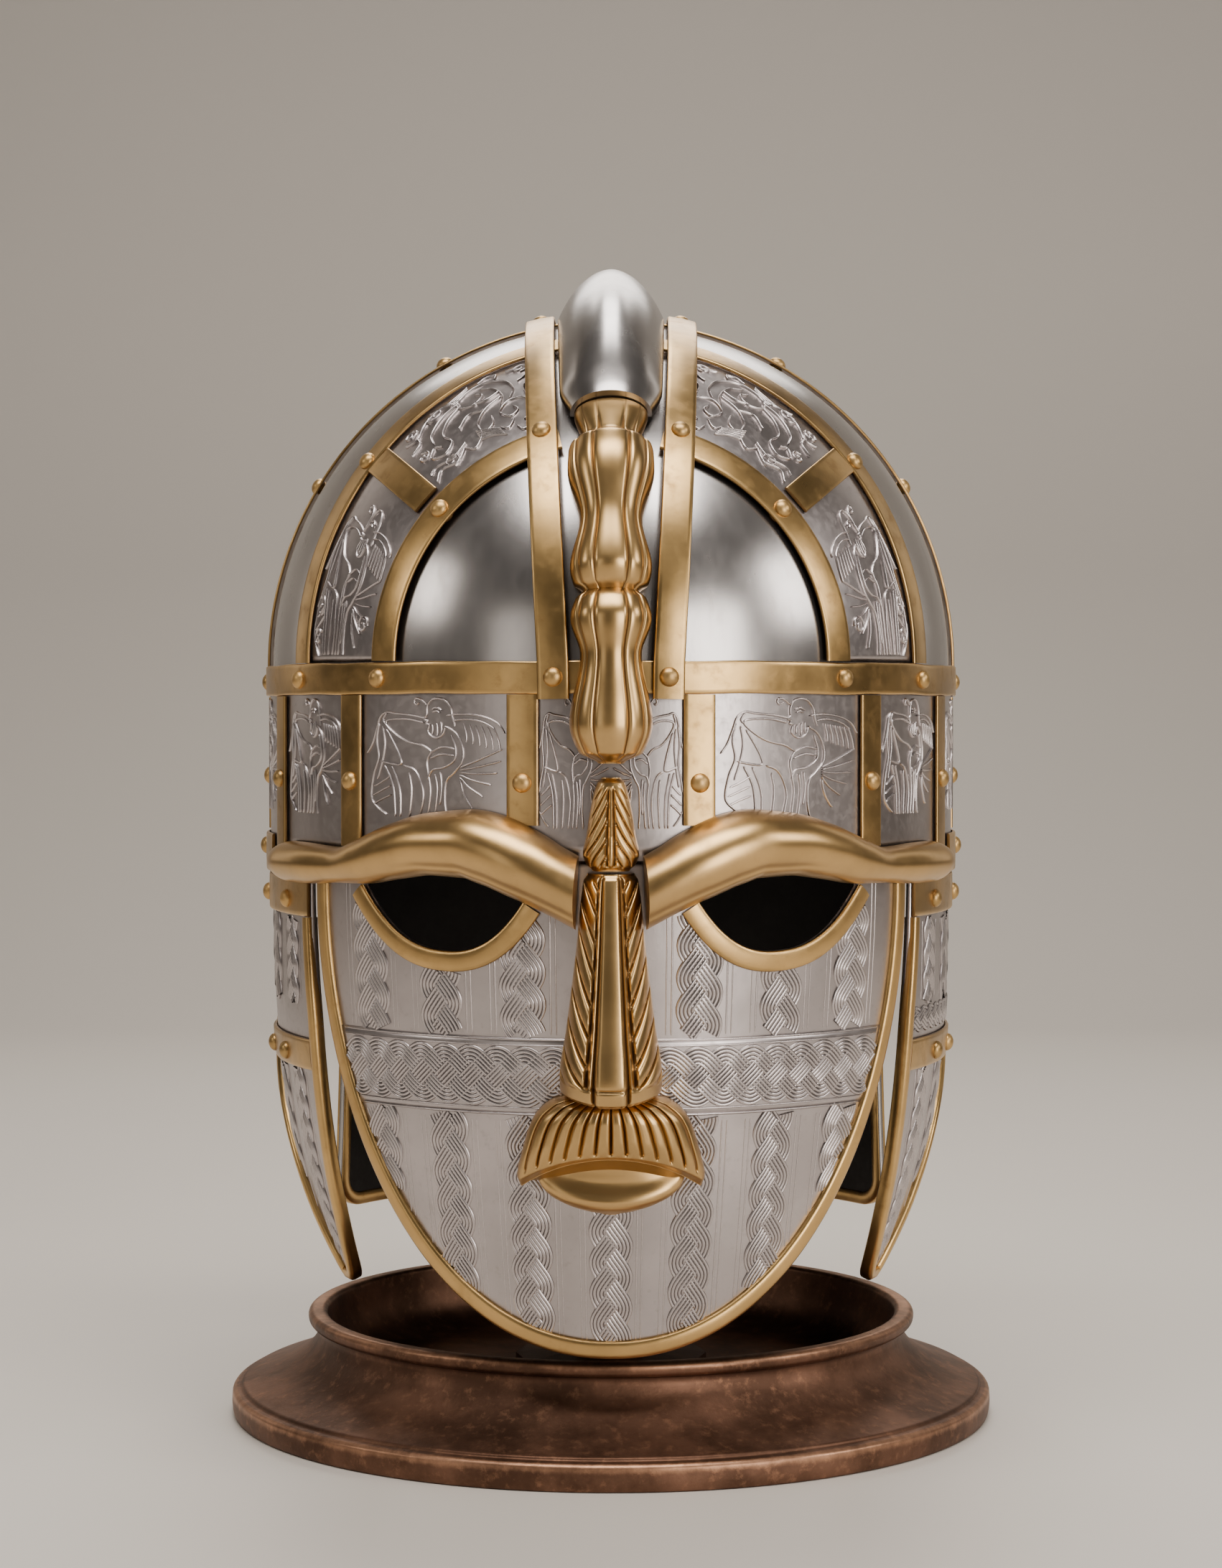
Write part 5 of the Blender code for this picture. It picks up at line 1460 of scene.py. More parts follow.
def build_mask_looks():
    """The mask's plate, its brass edges, and the plaits pressed into it."""
    widest = 56.5
    grid = []
    for down in spread(96):
        z = mix(MASK_TOP_Z, MASK_SIDE_Z - MASK_DROP - 3 * MM, down)
        row = [on_mask(round_wall(mix(-widest, widest, across), z)) for across in spread(120)]
        grid.append(row[::-1])
    plate = skin("mask_plate", grid, MASK_WALL, "pressed_silver", offset=-1.0)
    outline = mask_outline(0.4 * MM, 120)
    outline += [(-MASK_HALF_WIDTH, MASK_TOP_Z - CLEARANCE), (MASK_HALF_WIDTH, MASK_TOP_Z - CLEARANCE)]
    cutters = [(outline, "INTERSECT")]
    for hand in (1, -1):
        notch = [(hand * x, z) for x, z in (eye_edge(share) for share in spread(60))]
        high = 2 * MASK_TOP_Z - MASK_SIDE_Z
        cutters.append((notch + [(hand * EYE_OUTER_X, high), (hand * EYE_INNER_X, high)], "DIFFERENCE"))
    tools = []
    for outline, operation in cutters:
        tool = prism("cutter", outline, -2 * CAP_HALF_DEPTH, 0.0)
        cut(plate, tool, operation)
        tools.append(tool)
    plate = baked(plate)
    for tool in tools:
        bpy.data.objects.remove(tool, do_unlink=True)
    plate.data.shade_smooth()
    plate.data.set_sharp_from_angle(angle=math.radians(40))
    dressed(plate, "silver_foil", "mask")

    path = [mask_point(x, z) for x, z in mask_outline(MASK_RIM_WIDTH / 2 - 0.1 * MM, 200)]
    made = folded_edge("mask_edge", path, MASK_RIM_WIDTH, on_mask, MASK_WALL, 1.35 * RIM_THICKNESS)
    dressed(made, "brass", "mask_rim")
    path = [mask_point(*eye_edge(share, EYE_RIM_WIDTH / 2)) for share in spread(70)]
    made = band(
        "eye_edges", path, EYE_RIM_WIDTH, on_mask, RIM_LIFT, RIM_THICKNESS, section=WIRE_SECTION, mirror=0
    )
    dressed(made, "brass", "eye_rim_left", "eye_rim_right")

    work = Work()
    for bearing in COLUMN_BEARINGS:
        for hand in ((1, -1) if bearing else (1,)):
            chart = wall_chart(on_mask, hand * bearing, MASK_TOP_Z, 0.0)
            start = (MASK_TOP_Z - BAND_BOTTOM_Z) / MM if bearing == 0.0 else 0.0
            end = MASK_DROP / MM + 6.0

            def keep(s, u, chart=chart):
                place = chart(s, u, 0.0)
                off_band = place.z > BAND_TOP_Z + 0.8 * MM or place.z < BAND_BOTTOM_Z - 0.8 * MM
                return off_band and inside_mask(place, MASK_RIM_WIDTH - 0.6 * MM)

            plait(work, chart, start, end, COLUMN_WIDTH, keep, shift=1.4 * hand)
            for u, rib_width in COLUMN_LINES:
                line = kept_line(u, start, end, 130, keep)
                high = [place for place in line if MASK_TOP_Z - place[0] * MM > BAND_TOP_Z]
                low = [place for place in line if MASK_TOP_Z - place[0] * MM < BAND_BOTTOM_Z]
                for run in (high, low):
                    if len(run) > 2:
                        rib(work, run, chart, rib_width, LINE_HEIGHT)
    middle_z = (BAND_TOP_Z + BAND_BOTTOM_Z) / 2
    for hand in (1, -1):
        chart = level_chart(on_mask, middle_z, 0.45 * MM)

        def keep_level(s, u, hand=hand, chart=chart):
            return s * hand > 9.0 and inside_mask(chart(s, u, 0.0), MASK_RIM_WIDTH - 0.6 * MM)

        plait(
            work, chart, -CROSS_BAND_REACH, CROSS_BAND_REACH, CROSS_BAND_WIDTH, keep_level,
            strands=4, turn=34.0, strand_width=5.4,
        )
        for u in CROSS_BAND_LINES:
            line = kept_line(u, -CROSS_BAND_REACH, CROSS_BAND_REACH, 200, keep_level)
            if len(line) > 2:
                rib(work, line, chart, 0.7, CROSS_LINE_HEIGHT)
    made = work.object("mask_plaits", "pressed_silver", 75.0)
    dressed(made, "silver_foil")

    grid = []
    for share in spread(10):
        z = mix(BAND_TOP_Z, BAND_BOTTOM_Z, share)
        drop = (MASK_SIDE_Z - z) / MASK_DROP
        half = (MASK_HALF_WIDTH - MASK_RIM_WIDTH + 1.2 * MM) * (1 - drop * drop) ** (1 / MASK_ROUNDNESS)
        level = [mask_point(mix(half, -half, across), z) for across in spread(110)]
        grid.append([on_mask(point, 0.02 * MM) for point in level])
    made = skin("mask_cross_band", grid, 0.42 * MM, "pressed_silver")
    dressed(baked(made), "silver_foil")


GUARD_COLUMNS = (
    # bearing, width in millimetres
    (64.6, 9.6),
    (75.2, 13.6),
    (90.0, 13.6),
)


def guard_looks_outline(down):
    """Smooth front and rear bearings of a cheek guard."""
    return smooth_row(GUARD_OUTLINE, down)[1:]


def guard_strip_path(side, start, half_rim, count):
    """The middle of the brass edge down a cheek guard's front (side 0) or rear (side 1)."""
    last = 1.0 - GUARD_RIM_WIDTH / 2 / GUARD_LENGTH
    path = []
    for share in spread(count):
        down = mix(start, last, share)
        bearing = guard_looks_outline(down)[side]
        path.append(round_wall(bearing + (half_rim if side == 0 else -half_rim), guard_z(down)))
    return path


def build_guard_looks():
    """Cheek guards with their brass edges and plates, and the plaits pressed into them."""
    work = Work()
    rows = []
    for down in spread(90):
        front, rear = guard_looks_outline(down)
        row = [on_guard(round_wall(mix(front, rear, across), guard_z(down))) for across in spread(30)]
        rows.append([(point, PLAIN_WEAR_AND_SHADE) for point in row[::-1]])
    for made_rows in (rows, mirror_rows(rows, 0)):
        work.rows([[work.vert(*point) for point in row] for row in made_rows])
    made = work.object("cheek_plates", "pressed_silver")
    add_wall(made, GUARD_WALL, even=False)
    dressed(baked(made), "silver_foil", "cheek_guard_left", "cheek_guard_right")

    half_rim = math.degrees(GUARD_RIM_WIDTH / 2 / CAP_HALF_WIDTH)
    start = (TOP_PLATE_HEIGHT + 0.2 * MM) / GUARD_LENGTH
    path = guard_strip_path(1, start, half_rim, 110) + guard_strip_path(0, start, half_rim, 110)[::-1]
    thickness = 1.5 * RIM_THICKNESS
    made = folded_edge("cheek_edges", path, GUARD_RIM_WIDTH, on_guard, GUARD_WALL, thickness, mirror=0)
    dressed(made, "brass", "cheek_rim_left", "cheek_rim_right")

    for name, top, height, inset in (
        ("top", GUARD_TOP_Z, TOP_PLATE_HEIGHT, 0.0),
        ("mid", MID_PLATE_Z + MID_PLATE_HEIGHT / 2, MID_PLATE_HEIGHT, 2 * half_rim + 0.2),
    ):
        down = (GUARD_TOP_Z - top + height / 2) / GUARD_LENGTH
        front, rear = guard_looks_outline(down)
        path = [round_wall(mix(front + inset, rear - inset, share), top - height / 2) for share in spread(30)]
        made = band(f"cheek_{name}_plates", path, height, on_guard, RIM_LIFT, RIM_THICKNESS, mirror=0)
        dressed(made, "brass", f"cheek_{name}_plate_left", f"cheek_{name}_plate_right")

    work = Work()
    top_s = TOP_PLATE_HEIGHT / MM + 0.8
    mid_high = (GUARD_TOP_Z - MID_PLATE_Z - MID_PLATE_HEIGHT / 2) / MM
    mid_low = mid_high + MID_PLATE_HEIGHT / MM
    band_s = (mid_high - 9.6, mid_high - 1.2)
    for hand in (1, -1):
        for middle, width in GUARD_COLUMNS:
            chart = wall_chart(on_guard, hand * middle, GUARD_TOP_Z, 0.0)

            def keep(s, u, middle=middle, hand=hand):
                down = s * MM / GUARD_LENGTH
                if not (top_s < s < band_s[0] - 0.8 or mid_low + 0.8 < s < GUARD_LENGTH / MM - 3.0):
                    return False
                front, rear = guard_looks_outline(down)
                bearing = middle + hand * math.degrees(u / CHART_REACH)
                rim = 2 * half_rim - 0.2
                return front + rim < bearing < rear - rim

            plait(
                work, chart, top_s, GUARD_LENGTH / MM, width, keep,
                turn=2.2 * width, strand_width=0.44 * width, cords=4,
            )
            for u in (-width / 2 - 1.4, width / 2 + 1.4):
                line = kept_line(u, top_s, GUARD_LENGTH / MM, 100, keep)
                for run in ([p for p in line if p[0] < mid_high], [p for p in line if p[0] > mid_low]):
                    if len(run) > 2:
                        rib(work, run, chart, 0.5, LINE_HEIGHT)
        chart = level_chart(on_guard, GUARD_TOP_Z - sum(band_s) / 2 * MM, 0.0)

        def keep_level(s, u, hand=hand):
            down = (sum(band_s) / 2 - u) * MM / GUARD_LENGTH
            front, rear = guard_looks_outline(down)
            return front + 2 * half_rim < hand * math.degrees(s / CHART_REACH) < rear - 2 * half_rim

        plait(work, chart, hand * 100.0, hand * 190.0, 8.0, keep_level, turn=18.0, strand_width=3.5, cords=3)
    made = work.object("cheek_plaits", "pressed_silver", 75.0)
    dressed(made, "silver_foil")


def build_neck_looks():
    """The plate over the nape and its brass edge."""
    curve = [1 - math.cos(math.pi / 2 * share) for share in spread(16)]
    corner = [NECK_GUARD_BOTTOM_Z + NECK_GUARD_CORNER * rise for rise in curve]
    heights = [mix(GUARD_TOP_Z, corner[-1], share) for share in spread(40)] + corner[-2::-1]
    grid = []
    for z in heights:
        start = NECK_GUARD_BEARING + neck_edge(z)
        row = [on_neck(round_wall(mix(start, 360 - start, across), z)) for across in spread(90)]
        grid.append(row[::-1])
    made = skin("neck_plate", grid, NECK_GUARD_WALL, "polished_steel", offset=-1.0)
    dressed(baked(made), "polished_steel", "neck_guard")

    half_rim = math.degrees(NECK_RIM_WIDTH / 2 / CAP_HALF_WIDTH)
    low_z = NECK_GUARD_BOTTOM_Z + NECK_RIM_WIDTH / 2
    first = NECK_GUARD_BEARING + half_rim
    side = [round_wall(first, mix(GUARD_TOP_Z, corner[-1], share)) for share in spread(40)]
    inner = NECK_GUARD_CORNER - NECK_RIM_WIDTH / 2
    bend = []
    for share in spread(16)[1:]:
        angle = math.pi / 2 * share
        bearing = first + math.degrees(inner * (1 - math.cos(angle)) / CAP_HALF_WIDTH)
        bend.append(round_wall(bearing, low_z + inner * (1 - math.sin(angle))))
    start = first + math.degrees(inner / CAP_HALF_WIDTH)
    base = [round_wall(mix(start, 360 - start, share), low_z) for share in spread(110)[1:-1]]
    other = [Vector((-point.x, point.y, point.z)) for point in reversed(side + bend)]
    path = (side + bend + base + other)[::-1]
    made = folded_edge("neck_edge", path, NECK_RIM_WIDTH, on_neck, NECK_GUARD_WALL, RIM_THICKNESS)
    dressed(made, "brass", "neck_rim")


def rivet_places():
    """Each rivet's place and outward direction, on the skin that its strip lies on."""
    found = []

    def add(seat, point, lift, axes=()):
        place = seat(point, lift)
        outward = (seat(point, lift + MM) - place).normalized()
        ways = [(place, outward)]
        for axis in axes:
            for old_place, old_outward in list(ways):
                new_place, new_outward = old_place.copy(), old_outward.copy()
                new_place[axis] = -new_place[axis]
                new_outward[axis] = -new_outward[axis]
                ways.append((new_place, new_outward))
        found.extend(ways)

    on_strip = STRIP_LIFT + STRIP_THICKNESS
    on_crest = CREST_LIFT + CREST_STRIP_THICKNESS
    brow_middle = BROW_Z - BROW_BAND_WIDTH / 2
    for bearing in (38.0, 58.4):
        add(on_cap, round_wall(bearing, brow_middle), on_strip, (0, 1))
    add(on_cap, round_wall(90.0, brow_middle), on_strip, (0,))
    foot = face_line_point(brow_middle) + Vector((CREST_STRIP_FOOT_X, 0.0, 0.0))
    add(on_cap, foot, on_crest, (0, 1))
    add(on_cap, meridian_point(CREST_STRIP_FOOT_X + CREST_STRIP_SPREAD * 0.6, 37.0), on_crest, (0, 1))
    add(on_cap, meridian_point(CREST_STRIP_FOOT_X + CREST_STRIP_SPREAD, 90.0), on_crest, (0,))
    add(on_cap, dome_point(39.5, -outer_arch_y(39.5)), on_strip, (0, 1))
    add(on_cap, dome_point(41.5, -INNER_ARCH_Y), on_strip, (0, 1))
    for angle in (31.5, 61.0):
        add(on_cap, dome_point(angle, 0.0), on_strip, (0,))
    for bearing in LOWER_STRIP_BEARINGS:
        add(on_cap, round_wall(bearing, 198.0 * MM), on_strip, (0,))
    edge_middle = CAP_EDGE_Z + EDGE_BAND_WIDTH / 2 + 1.2 * MM
    for bearing in (87.0, 106.0, 128.0, 152.0):
        add(on_cap, round_wall(bearing, edge_middle), on_strip, (0,))
    add(on_cap, round_wall(180.0, edge_middle), on_strip)
    on_plate = RIM_LIFT + RIM_THICKNESS
    top_middle = GUARD_TOP_Z - TOP_PLATE_HEIGHT / 2 - 0.8 * MM
    for bearing in (65.0, 84.0, 95.5):
        add(on_guard, round_wall(bearing, top_middle), on_plate, (0,))
    for bearing in (68.5, 80.0):
        add(on_guard, round_wall(bearing, MID_PLATE_Z - 0.5 * MM), on_plate, (0,))
    for bearing in (128.0, 150.0):
        add(on_neck, round_wall(bearing, GUARD_TOP_Z - 6.0 * MM), 0.0, (0,))
    add(on_neck, round_wall(180.0, GUARD_TOP_Z - 6.0 * MM), 0.0)
    return found


def rivet_tree(material):
    """A node tree that sets a domed head on each point of a mesh, turned along the point's own direction."""
    tree = bpy.data.node_groups.new("domed_rivets", "GeometryNodeTree")
    face = tree.interface
    face.new_socket("Geometry", in_out="OUTPUT", socket_type="NodeSocketGeometry")
    face.new_socket("Geometry", in_out="INPUT", socket_type="NodeSocketGeometry")
    for name, value in (("Head Width", 4.6 * MM), ("Head Height", 1.8 * MM)):
        socket = face.new_socket(name, in_out="INPUT", socket_type="NodeSocketFloat")
        socket.default_value = value
        socket.subtype = "DISTANCE"

    def node(kind, **settings):
        made = tree.nodes.new(kind)
        for key, value in settings.items():
            setattr(made, key, value)
        return made

    def join(a, out, b, into):
        tree.links.new(a.outputs[out], b.inputs[into])

    start, end = node("NodeGroupInput"), node("NodeGroupOutput")
    ball = node("GeometryNodeMeshUVSphere")
    ball.inputs["Segments"].default_value = 20
    ball.inputs["Rings"].default_value = 12
    half = node("ShaderNodeMath", operation="MULTIPLY")
    half.inputs[1].default_value = 0.5
    size = node("ShaderNodeCombineXYZ")
    shape = node("GeometryNodeTransform")
    smooth = node("GeometryNodeSetShadeSmooth")
    outward = node("GeometryNodeInputNamedAttribute", data_type="FLOAT_VECTOR")
    outward.inputs["Name"].default_value = "outward"
    turn = node("FunctionNodeAlignRotationToVector", axis="Z")
    heads = node("GeometryNodeInstanceOnPoints")
    real = node("GeometryNodeRealizeInstances")
    coat = node("GeometryNodeSetMaterial")
    coat.inputs["Material"].default_value = material
    join(start, "Head Width", half, 0)
    join(half, 0, size, "X")
    join(half, 0, size, "Y")
    join(start, "Head Height", size, "Z")
    join(ball, "Mesh", shape, "Geometry")
    join(size, 0, shape, "Scale")
    join(shape, 0, smooth, "Geometry")
    join(start, "Geometry", heads, "Points")
    join(smooth, 0, heads, "Instance")
    join(outward, "Attribute", turn, "Vector")
    join(turn, 0, heads, "Rotation")
    join(heads, 0, real, 0)
    join(real, 0, coat, 0)
    join(coat, 0, end, 0)
    return tree


def build_rivet_looks():
    """Every rivet head in one piece, set by the node tree."""
    looks = bpy.context.scene.helmet
    mesh = bpy.data.meshes.new("rivets")
    places = rivet_places()
    mesh.from_pydata([place for place, _ in places], [], [])
    layer = mesh.attributes.new("outward", "FLOAT_VECTOR", "POINT")
    layer.data.foreach_set("vector", [value for _, outward in places for value in outward])
    made = bpy.data.objects.new("rivets", mesh)
    bpy.context.scene.collection.objects.link(made)
    tree = rivet_tree(finish("rivet_brass"))
    heads = made.modifiers.new("heads", "NODES")
    heads.node_group = tree
    for item in tree.interface.items_tree:
        if item.name == "Head Width":
            heads[item.identifier] = looks.rivet_width
        if item.name == "Head Height":
            heads[item.identifier] = looks.rivet_height
    dressed(baked(made), "brass")


class Wire:
    """A shader socket that adds, subtracts and multiplies as a number does."""

    def __init__(self, tree, socket):
        self.tree = tree
        self.socket = socket

    def sum(self, operation, first, second, third=None):
        made = self.tree.nodes.new("ShaderNodeMath")
        made.operation = operation
        for place, value in zip(made.inputs, (first, second, third)):
            if isinstance(value, Wire):
                self.tree.links.new(value.socket, place)
            elif value is not None:
                place.default_value = value
        return Wire(self.tree, made.outputs[0])

    def __add__(self, other):
        return self.sum("ADD", self, other)

    def __sub__(self, other):
        return self.sum("SUBTRACT", self, other)

    def __mul__(self, other):
        return self.sum("MULTIPLY", self, other)

    def __truediv__(self, other):
        return self.sum("DIVIDE", self, other)

    def __pow__(self, other):
        return self.sum("POWER", self, other)

    def __rsub__(self, other):
        return self.sum("SUBTRACT", other, self)

    __radd__ = __add__
    __rmul__ = __mul__

    def step(self, low, high):
        """0 below low and 1 above high, eased between them."""
        made = self.tree.nodes.new("ShaderNodeMapRange")
        made.interpolation_type = "SMOOTHSTEP"
        made.inputs["From Min"].default_value = low
        made.inputs["From Max"].default_value = high
        self.tree.links.new(self.socket, made.inputs["Value"])
        return Wire(self.tree, made.outputs[0])


class Finish:
    """A material in the making."""

    def __init__(self, name, metallic=1.0):
        self.material = bpy.data.materials.new(f"{name}_looks")
        self.material.use_nodes = True
        self.tree = self.material.node_tree
        self.shader = self.tree.nodes["Principled BSDF"]
        self.shader.inputs["Metallic"].default_value = metallic

    def node(self, kind, settings=None, sockets=None, out=0):
        made = self.tree.nodes.new(kind)
        for key, value in (settings or {}).items():
            setattr(made, key, value)
        for key, value in (sockets or {}).items():
            self.set(made.inputs[key], value)
        return Wire(self.tree, made.outputs[out])

    def set(self, socket, value):
        if isinstance(value, Wire):
            self.tree.links.new(value.socket, socket)
        elif isinstance(value, tuple) and socket.type == "RGBA":
            socket.default_value = (*value, 1.0)
        else:
            socket.default_value = value

    def place(self, scale=(1.0, 1.0, 1.0)):
        seen = self.node("ShaderNodeTexCoord", out="Object")
        return self.node("ShaderNodeMapping", None, {"Vector": seen, "Scale": scale})

    def noise(self, scale, detail=3.0, roughness=0.55, stretch=(1.0, 1.0, 1.0)):
        sockets = {"Vector": self.place(stretch), "Scale": scale, "Detail": detail, "Roughness": roughness}
        return self.node("ShaderNodeTexNoise", None, sockets)

    def attribute(self, name):
        return self.node("ShaderNodeAttribute", {"attribute_name": name}, out="Fac")

    def blend(self, share, first, second):
        made = self.tree.nodes.new("ShaderNodeMix")
        made.data_type = "RGBA"
        self.set(made.inputs[0], share)
        self.set(made.inputs[6], first)
        self.set(made.inputs[7], second)
        return Wire(self.tree, made.outputs[2])

    def bump(self, height, distance, strength=1.0):
        sockets = {"Height": height, "Distance": distance, "Strength": strength}
        self.set(self.shader.inputs["Normal"], self.node("ShaderNodeBump", None, sockets))

    def look(self, colour, roughness):
        self.set(self.shader.inputs["Base Color"], colour)
        self.set(self.shader.inputs["Roughness"], roughness)


def shade(colour, by):
    return tuple(min(1.0, value * by) for value in colour)


def make_finishes():
    """Every metal of the helmet, each with its own wear, stains and grain, and painted shade in its grooves
    and creases.
    """
    looks = bpy.context.scene.helmet

    steel = Finish("polished_steel")
    cloud = steel.noise(22.0, 4.0)
    smear = steel.noise(160.0, 4.0, 0.6, (1.0, 1.0, 0.35))
    scratch = steel.noise(1500.0, 2.0, 0.5, (1.0, 1.0, 0.06))
    base = tuple(looks.steel_colour)
    colour = steel.blend(cloud.step(0.35, 0.7), shade(base, 0.86), shade(base, 1.08))
    colour = steel.blend(smear.step(0.55, 0.8) * 0.35, colour, (0.36, 0.31, 0.28))
    steel.look(colour, 0.21 + cloud * 0.06 + smear.step(0.4, 0.75) * 0.04)
    steel.bump(scratch * 0.5 + smear, 0.05 * MM, 0.08)

    silver = Finish("pressed_silver")
    wear_and_shade = silver.attribute("wear_and_shade")
    cloud = silver.noise(35.0, 4.0)
    grain = silver.noise(420.0, 4.0, 0.6)
    scratch = silver.noise(900.0, 2.0, 0.5, (1.0, 1.0, 0.1))
    base = tuple(looks.silver_colour)
    colour = silver.blend(cloud.step(0.35, 0.68), shade(base, 0.84), base)
    # Grooves, valleys and the feet of ribs are painted near-black: partly tarnish, partly painted shade.
    colour = silver.blend((1.0 - wear_and_shade.step(0.0, 0.6)) * 0.85, colour, (0.11, 0.09, 0.085))
    colour = silver.blend(grain.step(0.55, 0.8) * 0.4, colour, (0.34, 0.30, 0.28))
    colour = silver.blend(wear_and_shade.step(0.75, 1.0) * 0.7, colour, shade(base, 1.12))
    silver.look(colour, 0.26 + cloud * 0.10 + grain.step(0.4, 0.8) * 0.10 - wear_and_shade.step(0.7, 1.0) * 0.06)
    silver.bump(grain * 0.6 + scratch * 0.3, 0.10 * MM, 0.45)

    for name, rough in (("aged_brass", 0.24), ("rivet_brass", 0.34)):
        brass = Finish(name)
        wear_and_shade = brass.attribute("wear_and_shade")
        cloud = brass.noise(48.0, 4.0)
        stain = brass.noise(150.0, 5.0, 0.65)
        grain = brass.noise(1100.0, 3.0)
        base = tuple(looks.brass_colour)
        colour = brass.blend(cloud.step(0.32, 0.66), shade(base, 0.74), shade(base, 1.08))
        colour = brass.blend(stain.step(0.52, 0.78) * 0.5, colour, (0.27, 0.145, 0.05))
        if name == "aged_brass":
            # The sides of each strip, down where it meets the skin, are painted dark as shade.
            colour = brass.blend((1.0 - wear_and_shade.step(0.0, 0.42)) * 0.9, colour, (0.16, 0.075, 0.03))
            colour = brass.blend(wear_and_shade.step(0.70, 0.92) * 0.45, colour, shade(base, 1.25))
        brass.look(colour, rough + cloud * 0.12 + stain.step(0.45, 0.75) * 0.12)
        brass.bump(stain * 0.8 + grain * 0.25, 0.10 * MM, 0.35)

    gilt = Finish("gilt_bronze")
    wear_and_shade = gilt.attribute("wear_and_shade")
    cloud = gilt.noise(55.0, 4.0)
    stain = gilt.noise(210.0, 5.0, 0.6)
    base = tuple(looks.gilt_colour)
    colour = gilt.blend(cloud.step(0.32, 0.68), shade(base, 0.88), shade(base, 1.05))
    # Grooves and the foot of each casting against the skin are painted dark as shade.
    colour = gilt.blend((1.0 - wear_and_shade.step(0.0, 0.62)) * 0.82, colour, (0.10, 0.05, 0.024))
    colour = gilt.blend(stain.step(0.56, 0.8) * 0.2, colour, (0.36, 0.20, 0.08))
    gilt.look(colour, 0.27 + cloud * 0.07 + stain.step(0.45, 0.8) * 0.05 + (1.0 - wear_and_shade.step(0.1, 0.6)) * 0.15)
    gilt.bump(stain, 0.05 * MM, 0.15)

    bronze = Finish("patinated_bronze")
    wear_and_shade = bronze.attribute("wear_and_shade")
    cloud = bronze.noise(38.0, 6.0, 0.62)
    speck = bronze.noise(260.0, 5.0, 0.7)
    base = tuple(looks.bronze_colour)
    colour = bronze.blend(cloud.step(0.36, 0.66), shade(base, 0.62), shade(base, 1.35))
    colour = bronze.blend(speck.step(0.5, 0.75) * 0.5, colour, (0.42, 0.22, 0.13))
    rub = wear_and_shade * 0.75 + cloud * 0.35 + speck * 0.25
    colour = bronze.blend(rub.step(0.86, 1.25) * 0.85, colour, (0.72, 0.40, 0.24))
    # The undercut below the lip and the crease in the foot are painted dark as shade.
    colour = bronze.blend((1.0 - wear_and_shade.step(0.0, 0.22)) * 0.6, colour, (0.05, 0.025, 0.018))
    bronze.look(colour, 0.44 - rub.step(0.8, 1.3) * 0.18 + speck * 0.12)
    bronze.bump(cloud * 0.4 + speck, 0.22 * MM, 0.5)

    # Near-black for the insides of the shells: partly dark iron, partly painted shade of the unlit interior.
    black = Finish("dark_iron_and_inner_shade", 0.6)
    cloud = black.noise(60.0, 4.0)
    grain = black.noise(500.0, 4.0)
    black.look(black.blend(cloud, (0.022, 0.020, 0.020), (0.05, 0.046, 0.045)), 0.5 + grain * 0.25)
    black.bump(grain, 0.2 * MM, 0.4)

    hide = Finish("dark_leather", 0.0)
    grain = hide.noise(900.0, 5.0, 0.65)
    cloud = hide.noise(70.0, 3.0)
    hide.look(hide.blend(cloud, (0.045, 0.028, 0.02), (0.11, 0.07, 0.045)), 0.55 + grain * 0.3)
    hide.bump(grain, 0.3 * MM, 0.6)

    plaster = Finish("pale_floor", 0.0)
    tone = tuple(looks.floor_colour)
    cloud = plaster.noise(3.0, 3.0)
    plaster.look(plaster.blend(cloud, shade(tone, 0.97), tone), 0.45 + cloud * 0.1)


def dress_hidden_pieces():
    """The hidden post and tabs keep their modelled shapes and take real finishes."""
    for name, material in (
        ("post", "patinated_bronze"),
        ("cheek_tab_left", "dark_leather"),
        ("cheek_tab_right", "dark_leather"),
        ("neck_tab", "dark_leather"),
    ):
        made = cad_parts[name]
        made.data.materials.clear()
        made.data.materials.append(finish(material))


def area_light(name, place, aim, width, height, power, colour):
    data = bpy.data.lights.new(name, "AREA")
    data.shape = "RECTANGLE"
    data.size, data.size_y = width, height
    data.energy = power
    data.color = colour
    made = bpy.data.objects.new(name, data)
    made.location = place
    made.rotation_euler = (Vector(aim) - Vector(place)).to_track_quat("-Z", "Y").to_euler()
    bpy.context.scene.collection.objects.link(made)


